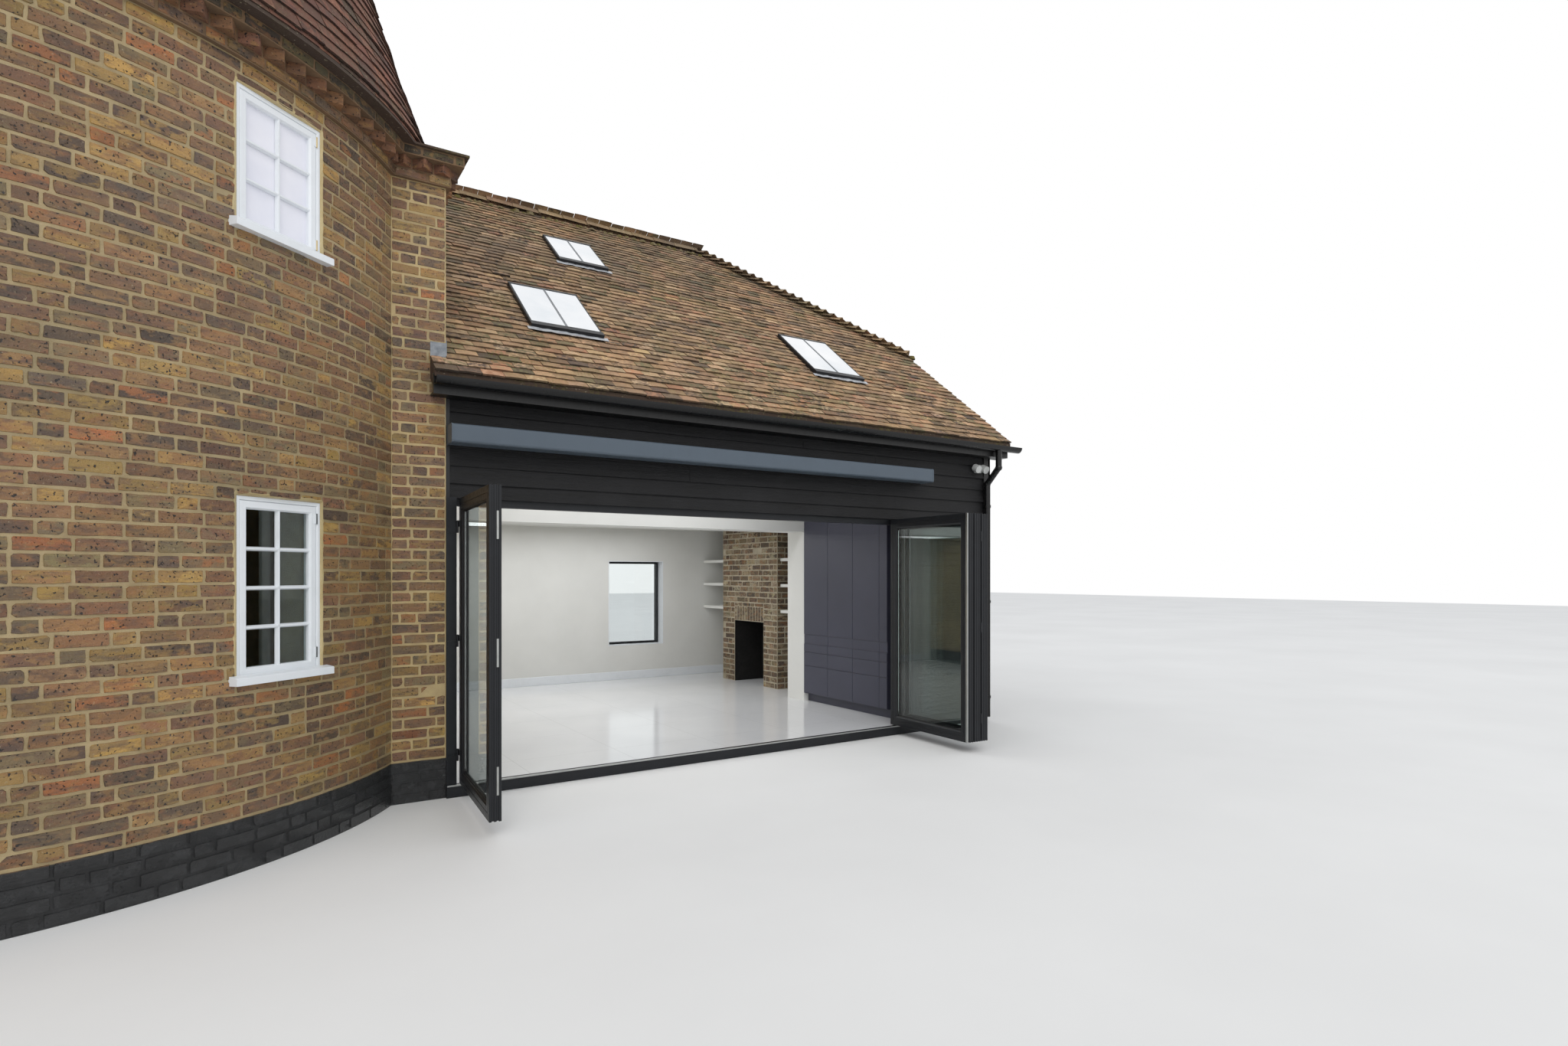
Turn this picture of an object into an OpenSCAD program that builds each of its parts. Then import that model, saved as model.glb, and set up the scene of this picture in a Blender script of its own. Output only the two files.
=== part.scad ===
// Oast house: a round brick kiln with a turning cowl, tied by a short pier to a boarded, tiled wing.
// Millimetres. The origin is on the ground at the centre of the roundel, +X runs along the front of
// the wing, +Y into the building and +Z up.

/* [Roundel] */
// Outer radius of the round brick wall; the right face of the link walls is tangent to it
roundel_r = 2960; // [2700:10:3400]
// Thickness of the brick walls
brick_wall_t = 330; // [215:5:450]
// Height of the plain brickwork below the cornice
wall_h = 4550; // [4450:10:5200]
// Height of the ground floors above the ground
floor_h = 93; // [60:1:200]
// Height of the roundel's upper floor above the ground
roundel_loft_z = 2700; // [2450:10:3100]
// Thickness of the timber upper floors
loft_floor_t = 200; // [120:5:300]

/* [Inner doorway] */
// Width of the doorway between roundel and wing
doorway_w = 900; // [700:10:1100]
// Height of that doorway above the floor
doorway_h = 2050; // [1900:10:2200]

/* [Cornice] */
// Height of one projecting brick course
course_h = 70; // [60:1:80]
// Projection of the string course
string_out = 30; // [15:1:50]
// Projection of the oversailing course
oversail_out = 110; // [70:1:130]
// Projection of the tile creasing that caps the pier
cap_out = 140; // [80:1:180]
// Thickness of that creasing
cap_t = 15; // [10:1:40]

/* [Conical roof] */
// Distance from the wall face out to the line of the cone at its foot
cone_out = 130; // [80:1:180]
// Extra outward flare of the lowest tiles
flare = 60; // [0:1:120]
// Height over which the flare dies out
flare_h = 1140; // [600:10:2000]
// Height of the cone above the cornice
cone_h = 7150; // [5500:10:8500]
// Radius of the cone at its top
cone_top_r = 840; // [700:10:1000]
// Thickness of the tiled roof, measured level
cone_t = 150; // [100:5:220]

/* [Cowl] */
// Height of the boarded cowl
cowl_h = 2050; // [1600:10:2600]
// Radius of the cowl at its foot
cowl_foot_r = 750; // [600:10:820]
// Radius of the cowl at its head
cowl_head_r = 270; // [180:5:400]
// How far the head stands off the turning axis, towards the open side
cowl_lean = 400; // [250:5:440]
// Thickness of the cowl's boarding
cowl_board_t = 30; // [20:1:45]
// Running gap between the curb and the turning cowl
cowl_gap = 20; // [10:1:60]
// Width of the cowl's open side at its foot
cowl_mouth_w = 700; // [400:10:900]
// Width of the open side at its top
cowl_mouth_top_w = 330; // [200:10:400]
// Height of the open side's foot above the cowl's foot
cowl_mouth_z = 290; // [200:10:500]
// Height of the open side
cowl_mouth_h = 1560; // [1000:10:1600]
// Depth of the open side, from the foot's edge
cowl_mouth_d = 340; // [200:10:400]
// Height of the metal ring on the cowl's head
ring_h = 35; // [20:1:60]
// Projection of that ring
ring_out = 15; // [5:1:30]
// Radius of the centre post
post_r = 35; // [25:1:60]
// Play of the post in its bearing
post_play = 1; // [0.5:0.1:3]
// Length of the post below the curb
post_foot = 500; // [300:10:800]
// Height of the upper arm above the cowl's foot
upper_arm_z = 1330; // [1000:10:1500]
// Width of the arms that hold the boarding
arm_w = 60; // [40:5:80]
// Height of the curb ring at the top of the cone
curb_h = 90; // [50:5:150]
// Projection of the curb ring past the cone's top
curb_out = 40; // [10:5:60]
// Width of the beams that carry the post
beam_w = 120; // [80:5:160]

/* [Vane] */
// Length of the narrow board next to the cowl
vane_stem_l = 750; // [400:10:1000]
// Height of the narrow board
vane_stem_h = 155; // [100:5:200]
// Length of the wide board
vane_tail_l = 1050; // [700:10:1300]
// Height of the wide board
vane_tail_h = 270; // [210:5:400]
// Thickness of the vane boards
vane_t = 30; // [20:1:50]
// How far the wide board rises above the narrow one
vane_step = 50; // [0:5:80]
// Height of the horse figure
horse_h = 320; // [200:5:450]

/* [Roundel windows] */
// Width of the casement windows
window_w = 580; // [450:10:750]
// Distance of the upper windows' heads below the cornice
upper_window_drop = 120; // [80:10:400]
// Height of the upper windows
upper_window_h = 830; // [600:10:900]
// Height of the lower windows above the ground
lower_window_z = 1050; // [800:10:1200]
// Height of the lower windows
lower_window_h = 1070; // [800:5:1200]
// Direction of the front window from +X, degrees
window_angle = -50.5; // [-56:0.5:-48]
// Depth from the wall face to the window frame
window_setback = 20; // [15:1:100]
// Depth of the window frames
casement_depth = 90; // [60:1:120]
// Width of frame and sash together
casement_w = 75; // [50:1:100]
// Height of the window sills
sill_h = 50; // [30:1:80]
// Projection of the sills from the wall face
sill_out = 45; // [20:1:80]
// How far the sills run past the windows
sill_ear = 40; // [20:1:90]
// Thickness of the window glass
glass_t = 24; // [12:1:30]

/* [Wing] */
// Distance of the pier's face in front of the roundel's centre
pier_front = 1440; // [1410:5:1700]
// Length of the wing from the link wall to its right outer face
wing_l = 5850; // [5600:10:7500]
// Distance of the wing's front wall in front of the roundel's centre
wing_front = 1385; // [1300:5:1400]
// Distance of the wing's rear wall behind the roundel's centre
wing_rear = 4000; // [3900:10:5000]
// Thickness of the wing's boarded walls
wing_wall_t = 280; // [200:5:330]
// Height of the wing's upper floor above the ground
wing_loft_z = 2550; // [2450:10:2700]

/* [Wing roof] */
// Pitch of all slopes, degrees
pitch = 38; // [34:0.5:42]
// Height of the front tile edge
front_eaves_z = 3150; // [3130:5:3300]
// Overhang of the tiles past the front and rear walls
eaves_out = 225; // [180:5:300]
// Overhang of the half-hip past the right wall
hip_out = 190; // [180:5:300]
// Distance of the ridge behind the roundel's centre
ridge_y = 2140; // [1900:10:2300]
// Thickness of the tiled roof, square to the slope
roof_t = 120; // [90:5:180]
// Thickness of the tiles at the eaves
tile_t = 35; // [20:1:45]
// How far the eaves run on past the corner of the pier
eaves_lap = 110; // [20:5:200]
// Outer radius of ridge and hip tiles
ridge_tile_r = 115; // [90:1:140]
// How deep their centre lies under the roof's edge
ridge_tile_sink = 52; // [30:1:70]

/* [Rooflights] */
// Width of the two lower rooflights
low_light_w = 650; // [450:10:800]
// Length of the two lower rooflights up the slope
low_light_l = 910; // [600:10:950]
// Width of the upper rooflight
high_light_w = 540; // [400:10:600]
// Length of the upper rooflight
high_light_l = 720; // [500:10:760]
// Place of the left lower rooflight along the wing
low_light_x = 1155; // [800:5:1500]
// Distance between the two lower rooflights
low_light_pitch = 3035; // [2600:5:3300]
// Place of the upper rooflight along the wing
high_light_x = 1870; // [1500:10:2300]
// Height of the lower rooflights above the front tile edge
low_light_z = 930; // [800:10:1100]
// Height of the upper rooflight above the front tile edge
high_light_z = 2090; // [1900:10:2200]
// Width of the rooflight frames
light_frame_w = 30; // [25:1:80]
// Height of the rooflight frames above the tiles
light_kerb = 55; // [30:1:90]
// Depth of the rooflights' panes below the top of their frames
pane_drop = 12; // [5:1:20]

/* [Eaves] */
// Height of the fascia
fascia_h = 150; // [120:1:155]
// Thickness of fascia and soffit boards
fascia_t = 25; // [15:1:35]
// How far the tiles run past the fascia
tile_lip = 40; // [25:1:60]
// Outer radius of the half-round gutters
gutter_r = 57; // [45:1:70]
// Wall of the gutters
gutter_t = 4; // [2:0.5:6]
// Drop of the gutter's rim below the tile edge
gutter_drop = 50; // [40:1:70]
// Outer radius of the downpipes
pipe_r = 34; // [28:1:45]
// Distance of the pipe's centre from the right outer face
pipe_in = 60; // [50:1:150]
// Gap between the pipe and the wall
pipe_stand = 40; // [25:1:60]
// Drop of the pipe's upper bend below the gutter's rim
neck_drop = 240; // [220:5:300]
// Height of the pipe's foot above the ground
shoe_z = 60; // [30:5:200]
// Height of the pipe clips
clip_h = 30; // [20:1:50]
// Thickness of the pipe clips
clip_t = 6; // [4:1:10]

/* [Folding doors] */
// Width of the door opening in the front wall
door_w = 4770; // [4500:10:5000]
// Height of the top of the door frame above the ground
door_top_z = 2246; // [2150:1:2300]
// Width of the jambs
jamb_w = 75; // [40:1:90]
// Height of the head
head_h = 56; // [40:1:90]
// Depth of the door frame
frame_depth = 150; // [120:1:180]
// How far the frame stands in front of the wall
frame_out = 65; // [56:1:90]
// How far the sill stands in front of the frame
sill_lip = 20; // [10:1:40]
// Depth of the sill's dark nosing in front of the pale floor
nosing_d = 50; // [35:1:80]
// Number of leaves
leaf_count = 4; // [4:1:6]
// Thickness of a leaf
leaf_t = 78; // [50:1:80]
// Width of a leaf's stiles and rails
stile_w = 95; // [70:1:120]
// Gap round a closed leaf
leaf_gap = 6; // [5:0.5:10]
// Gap under and over a leaf
leaf_end_gap = 10; // [6:1:20]
// Gap between folded leaves
fold_gap = 12; // [8:1:40]
// Gap between the folded leaves and the right jamb
fold_stand = 30; // [25:1:90]
// How far the folded leaves' ends reach into the frame
fold_in = 50; // [30:1:55]
// Lean of the folded leaves' free ends towards the opening, degrees
fold_lean = 3; // [0:0.5:4]
// Thickness of the leaf glass
leaf_glass_t = 28; // [20:1:36]
// Opening of the single leaf at rest, degrees
leaf_open = 93.5; // [60:0.5:94]
// Radius of a hinge knuckle
knuckle_r = 9; // [7:0.5:10]
// Height of a hinge knuckle
knuckle_h = 45; // [30:1:80]
// Radius of a hinge pin
pin_r = 4; // [3:0.1:5]
// Play of a hinge pin
pin_play = 0.4; // [0.2:0.1:0.8]

/* [Front fittings] */
// Distance of the awning cassette's left end from the left end of the door opening
cassette_end = 12; // [5:1:60]
// How far the cassette runs past the right end of the door opening
cassette_past = 48; // [0:1:100]
// Height of the cassette
cassette_h = 140; // [110:1:180]
// Depth of the cassette
cassette_d = 175; // [140:1:220]
// Height of the cassette's underside above the ground
cassette_z = 2640; // [2560:5:2700]
// Radius of the cassette's front edges
cassette_round = 20; // [5:1:40]
// Space between cassette and wall
cassette_gap = 45; // [35:1:60]
// Width of the cassette's brackets
bracket_w = 120; // [60:5:200]
// How far the brackets stay below and above the cassette's edges
bracket_in = 20; // [10:1:40]
// Height of the security light above the ground
lamp_z = 2860; // [2750:5:2900]
// Height of the lead upstand beside the pier
lead_h = 130; // [80:5:160]
// Height of the lead apron on the pier's front face
apron_h = 110; // [60:5:160]
// Thickness of the lead
lead_t = 6; // [3:1:10]
// Distance of the security light from the right outer face
lamp_in = 170; // [150:5:300]
// Size of the light's back box
lamp_box = 90; // [60:1:120]
// Depth of that box
lamp_box_d = 45; // [30:1:70]
// Radius of the two lamp heads
lamp_head_r = 42; // [30:1:55]
// Length of the lamp heads
lamp_head_l = 70; // [50:1:90]
// Distance between the lamp heads
lamp_head_pitch = 120; // [100:1:140]
// Downward tilt of the lamp heads, degrees
lamp_tilt = 25; // [0:1:45]
// Radius of the sensor's eye
lamp_eye_r = 28; // [15:1:35]

/* [Inside] */
// Distance of the portal's front face behind the roundel's centre
portal_y = 470; // [460:5:700]
// Thickness of the portal
portal_t = 360; // [250:5:450]
// Height of the portal's clear opening above the ground
portal_z = 2200; // [2100:10:2230]
// Length of the portal's nib from the right wall
nib_l = 965; // [700:5:1100]
// How far the fitted cupboards' face stays behind the side of the nib
cupboard_in = 10; // [0:1:60]
// Height of the cupboards' top above the ground
cupboard_z = 2350; // [1900:10:2600]
// Height of the cupboards' plinth
plinth_h = 100; // [60:5:150]
// Depth of the toe recess under the cupboards
toe_d = 60; // [30:5:90]
// Distance of the chimney breast from the rear wall
alcove_w = 720; // [500:5:900]
// Width of the chimney breast
breast_w = 1500; // [1200:10:1700]
// Depth of the chimney breast
breast_d = 690; // [450:5:800]
// Width of the fireplace
hearth_w = 800; // [600:10:1000]
// Height of the fireplace
hearth_h = 900; // [700:10:1100]
// Depth of the fireplace
hearth_d = 480; // [350:5:600]
// Width of the floating shelves
shelf_d = 640; // [200:5:650]
// Thickness of the floating shelves
shelf_t = 40; // [25:1:60]
// Height of the lowest shelf above the ground
shelf_z = 1140; // [600:10:1200]
// Distance between the shelves
shelf_pitch = 355; // [250:5:400]
// Number of shelves
shelf_count = 3; // [1:1:4]

/* [Rear window] */
// Width of the rear window
rear_window_w = 890; // [600:10:1200]
// Height of the rear window's foot above the ground
rear_window_z = 600; // [300:10:900]
// Height of the rear window
rear_window_h = 1270; // [900:10:1400]
// Place of the rear window's left side along the wing
rear_window_x = 3330; // [2500:10:3800]
// Width of its frame
rear_frame_w = 40; // [35:1:80]
// Depth of its frame
rear_frame_d = 90; // [60:1:120]
// Depth from the wall face to its frame
rear_setback = 30; // [15:1:60]

/* [Hidden] */

// Gap between curved faces that meet
fit = 0.3;
// Gap between the wing's roof and the roundel it is cut round
roof_fit = 8;
// Longer than the building, for cutters
far = 20000;
// Facets of small round pieces, of the roundel's large rounds and of blended shells
$fn = 96;
wall_fn = 360;
shell_fn = 48;
// Clearance of a hinge knuckle from the leaf
hinge_clear = 3;
// Play of the pipe sockets over the pipes
socket_t = 5;
// Corners of the horse in hundredths of its height: tail, back, head, raised foreleg, the standing legs
horse = [
    [-52, 34], [-42, 64], [-30, 74], [-5, 68], [16, 74], [30, 92], [38, 100], [42, 95], [50, 88], [60, 74],
    [55, 70], [43, 78], [36, 72], [33, 58], [49, 49], [43, 24], [38, 25], [41, 42], [26, 46],
    [24, -1], [17, -1], [17, 44], [-8, 44],
    [-6, 26], [-12, -1], [-19, -1], [-14, 26], [-22, 42],
    [-26, 40], [-34, 26], [-28, -1], [-35, -1], [-42, 28], [-34, 54], [-38, 56], [-47, 33]
];

roundel_ri = roundel_r - brick_wall_t;
upper_window_z = wall_h - upper_window_drop - upper_window_h;
cornice_z = wall_h + 3 * course_h;
eaves_r = roundel_r + cone_out + flare;
cone_foot_r = roundel_r + cone_out;
curb_z = cornice_z + cone_h;
curb_r = cone_top_r + curb_out;
curb_ri = cone_top_r - cone_t;
cowl_z = curb_z + curb_h + cowl_gap;
sector = 60;

wing_x = roundel_r;
wing_x1 = wing_x + wing_l;
front_y = -wing_front;
slope = tan(pitch);
roof_v = roof_t / cos(pitch);
tile_v = tile_t / cos(pitch);
eaves_y = front_y - eaves_out;
rear_eaves_y = wing_rear + eaves_out;
hip_x = wing_x1 + hip_out;
verge_x = hip_x - tile_lip;
gable_x = roundel_ri - tile_lip;
ridge_z = front_eaves_z + (ridge_y - eaves_y) * slope;
high_eaves_z = ridge_z - (rear_eaves_y - ridge_y) * slope;
ridge_x1 = hip_x - (ridge_z - high_eaves_z) / slope;
hip_front_y = ridge_x1 + ridge_y - hip_x;

door_x1 = wing_x + door_w;
frame_y = front_y - frame_out;
leaf_pitch = (door_w - 2 * jamb_w) / leaf_count;
leaf_w = leaf_pitch - leaf_gap;
leaf_z = floor_h + leaf_end_gap;
leaf_h = door_top_z - leaf_gap - leaf_z;
hinge_x = wing_x + jamb_w + leaf_gap / 2;
hinge_out = knuckle_r + hinge_clear;
hinge_y = frame_y - hinge_out;
nosing_y = frame_y - sill_lip + nosing_d;
right_x = wing_x1 - wing_wall_t;
rear_in_y = wing_rear - wing_wall_t;

brick = "#8d6b4f";
tile_red = "#8a4f38";
tile_brown = "#8b6a50";
board_black = "#232427";
frame_grey = "#34373c";
white_paint = "#eceef0";
lead_grey = "#6f7478";
clear_glass = "#a9c0c9";

// Height of the front slope's tiles over a point y
function front_top(y) = front_eaves_z + (y - eaves_y) * slope;

// Height of the rear slope's tiles over a point y
function rear_top(y) = high_eaves_z + (rear_eaves_y - y) * slope;

// Height of the half-hip's tiles over a point x
function hip_top(x) = high_eaves_z + (hip_x - x) * slope;

// Radius of the conical roof at a height above the cornice
function cone_r(h) = cone_foot_r - (cone_foot_r - cone_top_r) * h / cone_h
    + flare * pow(max(0, 1 - h / flare_h), 2);

// Carries a y-z outline along X
module along_x(x0, x1) {
    translate([x0, 0, 0]) rotate([90, 0, 90]) linear_extrude(x1 - x0) children();
}

// Carries an x-z outline along Y
module along_y(y0, y1) {
    translate([0, y1, 0]) rotate([90, 0, 0]) linear_extrude(y1 - y0) children();
}

// A box between two corners
module block(low, high) {
    translate(low) cube(high - low);
}

// Everything on or inside the roundel's outline, grown by a gap
module roundel_envelope(gap) {
    $fn = wall_fn;
    cylinder(r = roundel_r + gap, h = wall_h);
    rotate_extrude() polygon([
        [0, wall_h - gap], [eaves_r + gap, wall_h - gap], [eaves_r + gap, cornice_z + course_h],
        [cone_r(flare_h) + gap * 2, cornice_z + flare_h], [0, cornice_z + flare_h]
    ]);
}

// A wedge of the round wall between two directions
module wedge(from, to) {
    middle = (from + to) / 2;
    linear_extrude(wall_h) polygon([
        [0, 0], far * [cos(from), sin(from)], far * [cos(middle), sin(middle)], far * [cos(to), sin(to)]
    ]);
}

// Places a piece in the window column at a direction
module at_window(angle) {
    rotate([0, 0, angle]) translate([roundel_r, 0, 0]) children();
}

module window_hole(z, h) {
    translate([-brick_wall_t - window_w, -window_w / 2, z]) cube([brick_wall_t + 2 * window_w, window_w, h]);
}

module doorway_strip(low, high) {
    translate([0, -doorway_w / 2, low]) cube([far, doorway_w, high - low]);
}

// One segment of the round wall; the window column is in the middle of the front one
module roundel_segment(step, windows) {
    $fn = wall_fn;
    middle = window_angle - sector * step;
    color(brick) difference() {
        intersection() {
            difference() {
                cylinder(r = roundel_r, h = wall_h);
                translate([0, 0, -1]) cylinder(r = roundel_ri, h = wall_h + 2);
            }
            wedge(middle - sector / 2, middle + sector / 2);
        }
        if (windows) at_window(middle) {
            window_hole(upper_window_z, upper_window_h);
            window_hole(lower_window_z, lower_window_h);
        }
    }
}

module doorway_segment(side) {
    difference() {
        roundel_segment(5, false);
        doorway_strip(-1, wall_h + 1);
        translate([0, side > 0 ? -far : 0, -1]) cube([far, far, wall_h + 2]);
    }
}

module roundel_wall_front() roundel_segment(0, true);

module roundel_wall_front_left() roundel_segment(1, false);

module roundel_wall_left() roundel_segment(2, true);

module roundel_wall_back_left() roundel_segment(3, false);

module roundel_wall_back() roundel_segment(4, true);

module roundel_wall_doorway_front() doorway_segment(-1);

module roundel_wall_doorway_back() doorway_segment(1);

module roundel_wall_over_doorway() intersection() {
    roundel_segment(5, false);
    doorway_strip(floor_h + doorway_h, wall_h + 1);
}

module roundel_floor() {
    $fn = wall_fn;
    color("#b9b4aa") union() {
        cylinder(r = roundel_ri - fit, h = floor_h);
        translate([0, fit - doorway_w / 2, 0]) cube([wing_x, doorway_w - 2 * fit, floor_h]);
    }
}

module roundel_upper_floor() {
    $fn = wall_fn;
    color("#b08a5e") translate([0, 0, roundel_loft_z - loft_floor_t])
        cylinder(r = roundel_ri - fit, h = loft_floor_t);
}

// A window frame with its sill, its outer face at the set-back
module casement(z, h) {
    $fn = wall_fn;
    x1 = -window_setback;
    x0 = x1 - casement_depth;
    difference() {
        translate([x0, -window_w / 2, z]) cube([casement_depth, window_w, h]);
        translate([x0 - 1, casement_w - window_w / 2, z + casement_w])
            cube([casement_depth + 2, window_w - 2 * casement_w, h - 2 * casement_w]);
    }
    translate([x1, -window_w / 2, z]) cube([sill_out - x1, window_w, sill_h]);
    difference() {
        translate([x1, -window_w / 2 - sill_ear, z]) cube([sill_out - x1, window_w + 2 * sill_ear, sill_h]);
        translate([-roundel_r, 0, z - 1]) cylinder(r = roundel_r + fit, h = sill_h + 2);
    }
}

module casement_glass(z, h) {
    translate([-window_setback - casement_depth / 2 - glass_t / 2, casement_w - window_w / 2, z + casement_w])
        cube([glass_t, window_w - 2 * casement_w, h - 2 * casement_w]);
}

module roundel_windows() {
    color(white_paint) for (step = [0, 2, 4]) at_window(window_angle - sector * step) {
        casement(upper_window_z, upper_window_h);
        casement(lower_window_z, lower_window_h);
    }
}

module roundel_window_glass() {
    color(clear_glass) for (step = [0, 2, 4]) at_window(window_angle - sector * step) {
        casement_glass(upper_window_z, upper_window_h);
        casement_glass(lower_window_z, lower_window_h);
    }
}

// One course of the cornice, round the roundel and out over the pier
module cornice_course(z, h, out) {
    $fn = wall_fn;
    translate([0, 0, z]) {
        cylinder(r = roundel_r + out, h = h);
        block([roundel_r / 2, -pier_front - out, 0], [roundel_r + out, 0, h]);
    }
}

module cornice() {
    $fn = wall_fn;
    color(brick) difference() {
        union() {
            cornice_course(wall_h, 2 * course_h, string_out);
            cornice_course(wall_h + 2 * course_h, course_h, oversail_out);
        }
        translate([0, 0, wall_h - 1]) cylinder(r = roundel_ri, h = 3 * course_h + 2);
    }
}

module cone_roof() {
    $fn = wall_fn;
    steps = 5;
    foot = [for (i = [0:steps]) flare_h * i / steps];
    outer = [for (h = foot) [cone_r(h), cornice_z + h]];
    inner = [for (i = [steps:-1:0])
        [cone_r(foot[i]) - cone_t - flare * (1 - i / steps), cornice_z + foot[i]]];
    color(tile_red) rotate_extrude() polygon(concat(
        outer, [[cone_top_r, curb_z], [cone_top_r - cone_t, curb_z]], inner
    ));
}

// Ring at the top of the cone with the beam and bearing that carry the cowl's post
module cowl_curb() {
    $fn = wall_fn;
    color(lead_grey) translate([0, 0, curb_z]) difference() {
        union() {
            difference() {
                cylinder(r = curb_r, h = curb_h);
                translate([0, 0, -1]) cylinder(r = curb_ri, h = curb_h + 2);
            }
            block([-cone_top_r, -beam_w / 2, 0], [cone_top_r, beam_w / 2, curb_h]);
        }
        translate([0, 0, -1]) cylinder(r = post_r + post_play, h = curb_h + 2);
    }
}

// Turning post of the cowl, its collar on the beam, and the arms that hold the boarding
module cowl_post() {
    half = arm_w / 2;
    color("#6b4d35") {
        translate([0, 0, curb_z - post_foot])
            cylinder(r = post_r, h = post_foot + curb_h + cowl_gap + upper_arm_z + arm_w);
        translate([0, 0, curb_z + curb_h + fit]) cylinder(r = 2 * post_r, h = cowl_gap + arm_w);
        translate([0, 0, cowl_z]) intersection() {
            union() {
                block([-cowl_foot_r, -half, 0], [cowl_foot_r, half, arm_w]);
                for (z = [0, upper_arm_z]) block([-half, -cowl_foot_r, z], [half, cowl_foot_r, z + arm_w]);
            }
            cowl_solid(cowl_board_t + fit);
        }
    }
}

module cowl_solid(inset) {
    $fn = shell_fn;
    hull() {
        cylinder(r = cowl_foot_r - inset, h = fit);
        translate([-cowl_lean, 0, cowl_h - fit]) cylinder(r = cowl_head_r - inset, h = fit);
    }
}

// Skewed cone of boards with an open side towards the vane
module cowl_shell() {
    mouth_top = cowl_mouth_z + cowl_mouth_h;
    color(white_paint) translate([0, 0, cowl_z]) difference() {
        cowl_solid(0);
        cowl_solid(cowl_board_t);
        translate([0, 0, -1]) cylinder(r = cowl_foot_r - cowl_board_t, h = 2);
        translate([-cowl_lean, 0, cowl_h - 1]) cylinder(r = cowl_head_r - cowl_board_t, h = 2);
        along_x(-cowl_foot_r - 1, cowl_mouth_d - cowl_foot_r) polygon([
            [-cowl_mouth_w / 2, cowl_mouth_z], [cowl_mouth_w / 2, cowl_mouth_z],
            [cowl_mouth_top_w / 2, mouth_top], [-cowl_mouth_top_w / 2, mouth_top]
        ]);
    }
}

module cowl_top_ring() {
    color(lead_grey) translate([-cowl_lean, 0, cowl_z + cowl_h]) difference() {
        cylinder(r = cowl_head_r + ring_out, h = ring_h);
        translate([0, 0, -1]) cylinder(r = cowl_head_r - cowl_board_t, h = ring_h + 2);
    }
}

// Place of the boarding on the open side at a height above the cowl's foot
function open_side_x(h) = -cowl_foot_r + (cowl_foot_r - cowl_head_r - cowl_lean) * h / cowl_h;

// Two-step board that turns the cowl, with the horse on its tail
module wind_vane() {
    step_x = -cowl_foot_r - fit - vane_stem_l;
    tail_top = vane_stem_h + vane_step;
    color(white_paint) along_y(-vane_t / 2, vane_t / 2) translate([0, cowl_z + vane_step]) {
        polygon([
            [step_x - 1, 0], [open_side_x(vane_step) - fit, 0],
            [open_side_x(vane_step + vane_stem_h) - fit, vane_stem_h], [step_x - 1, vane_stem_h]
        ]);
        translate([step_x - vane_tail_l, tail_top - vane_tail_h]) square([vane_tail_l, vane_tail_h]);
        translate([step_x - vane_tail_l / 2, tail_top]) mirror([1, 0]) scale(horse_h / 100) polygon(horse);
    }
}

// Brickwork between the roundel and the tangent plane
module pier() {
    $fn = wall_fn;
    color(brick) difference() {
        block([roundel_ri - brick_wall_t, -pier_front, 0], [roundel_r, -doorway_w / 2, wall_h]);
        translate([0, 0, -1]) cylinder(r = roundel_r + fit, h = wall_h + 2);
    }
}

// Tile creasing on the corner of the cornice
module pier_cap() {
    $fn = wall_fn;
    color("#5c5348") translate([0, 0, cornice_z]) difference() {
        block([roundel_r / 2, -pier_front - cap_out, 0], [roundel_r + cap_out, -pier_front / 2, cap_t]);
        translate([0, 0, -1]) cylinder(r = eaves_r + fit, h = cap_t + 2);
    }
}

// The space below the wing's roof slabs, down to the ground
module under_roof(drop) {
    intersection() {
        along_x(0, hip_x) polygon([
            [eaves_y, 0], [eaves_y, front_eaves_z - drop], [ridge_y, ridge_z - drop],
            [rear_eaves_y, high_eaves_z - drop], [rear_eaves_y, 0]
        ]);
        along_y(eaves_y, rear_eaves_y) polygon([
            [0, 0], [hip_x, 0], [hip_x, high_eaves_z - drop], [ridge_x1, ridge_z - drop], [0, ridge_z - drop]
        ]);
    }
}

module party_wall() {
    color(brick) difference() {
        intersection() {
            block([roundel_ri, doorway_w / 2, 0], [wing_x, wing_rear, far]);
            under_roof(roof_v + fit);
        }
        roundel_envelope(fit);
    }
}

module front_wall_over_doors() {
    color(board_black) intersection() {
        block([wing_x, front_y, door_top_z], [door_x1, front_y + wing_wall_t, far]);
        under_roof(roof_v + fit);
    }
}

module front_wall_right() {
    color(board_black) intersection() {
        block([door_x1, front_y, 0], [wing_x1, front_y + wing_wall_t, far]);
        under_roof(roof_v + fit);
    }
}

module right_wall() {
    color(board_black) intersection() {
        block([right_x, front_y + wing_wall_t, 0], [wing_x1, rear_in_y, far]);
        under_roof(roof_v + fit);
    }
}

module rear_wall() {
    color(board_black) difference() {
        intersection() {
            block([wing_x, rear_in_y, 0], [wing_x1, wing_rear, far]);
            under_roof(roof_v + fit);
        }
        in_rear_hole(0, -1, wing_wall_t + 1);
    }
}

module wing_floor() {
    color("#e4e2dd") {
        block([wing_x, nosing_y, 0], [door_x1, front_y + wing_wall_t + 1, floor_h]);
        block([wing_x, front_y + wing_wall_t, 0], [right_x, rear_in_y, floor_h]);
    }
}

module wing_upper_floor() {
    color("#e9e7e3") translate([wing_x, portal_y + portal_t, wing_loft_z - loft_floor_t])
        cube([right_x - wing_x, rear_in_y - portal_y - portal_t, loft_floor_t]);
}

// Downstand beam and nib left of the old outer wall
module portal() {
    color(white_paint) {
        block([wing_x, portal_y, portal_z], [right_x, portal_y + portal_t, wing_loft_z]);
        block([right_x - nib_l, portal_y, floor_h], [right_x, portal_y + portal_t, portal_z + 1]);
    }
}

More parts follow.
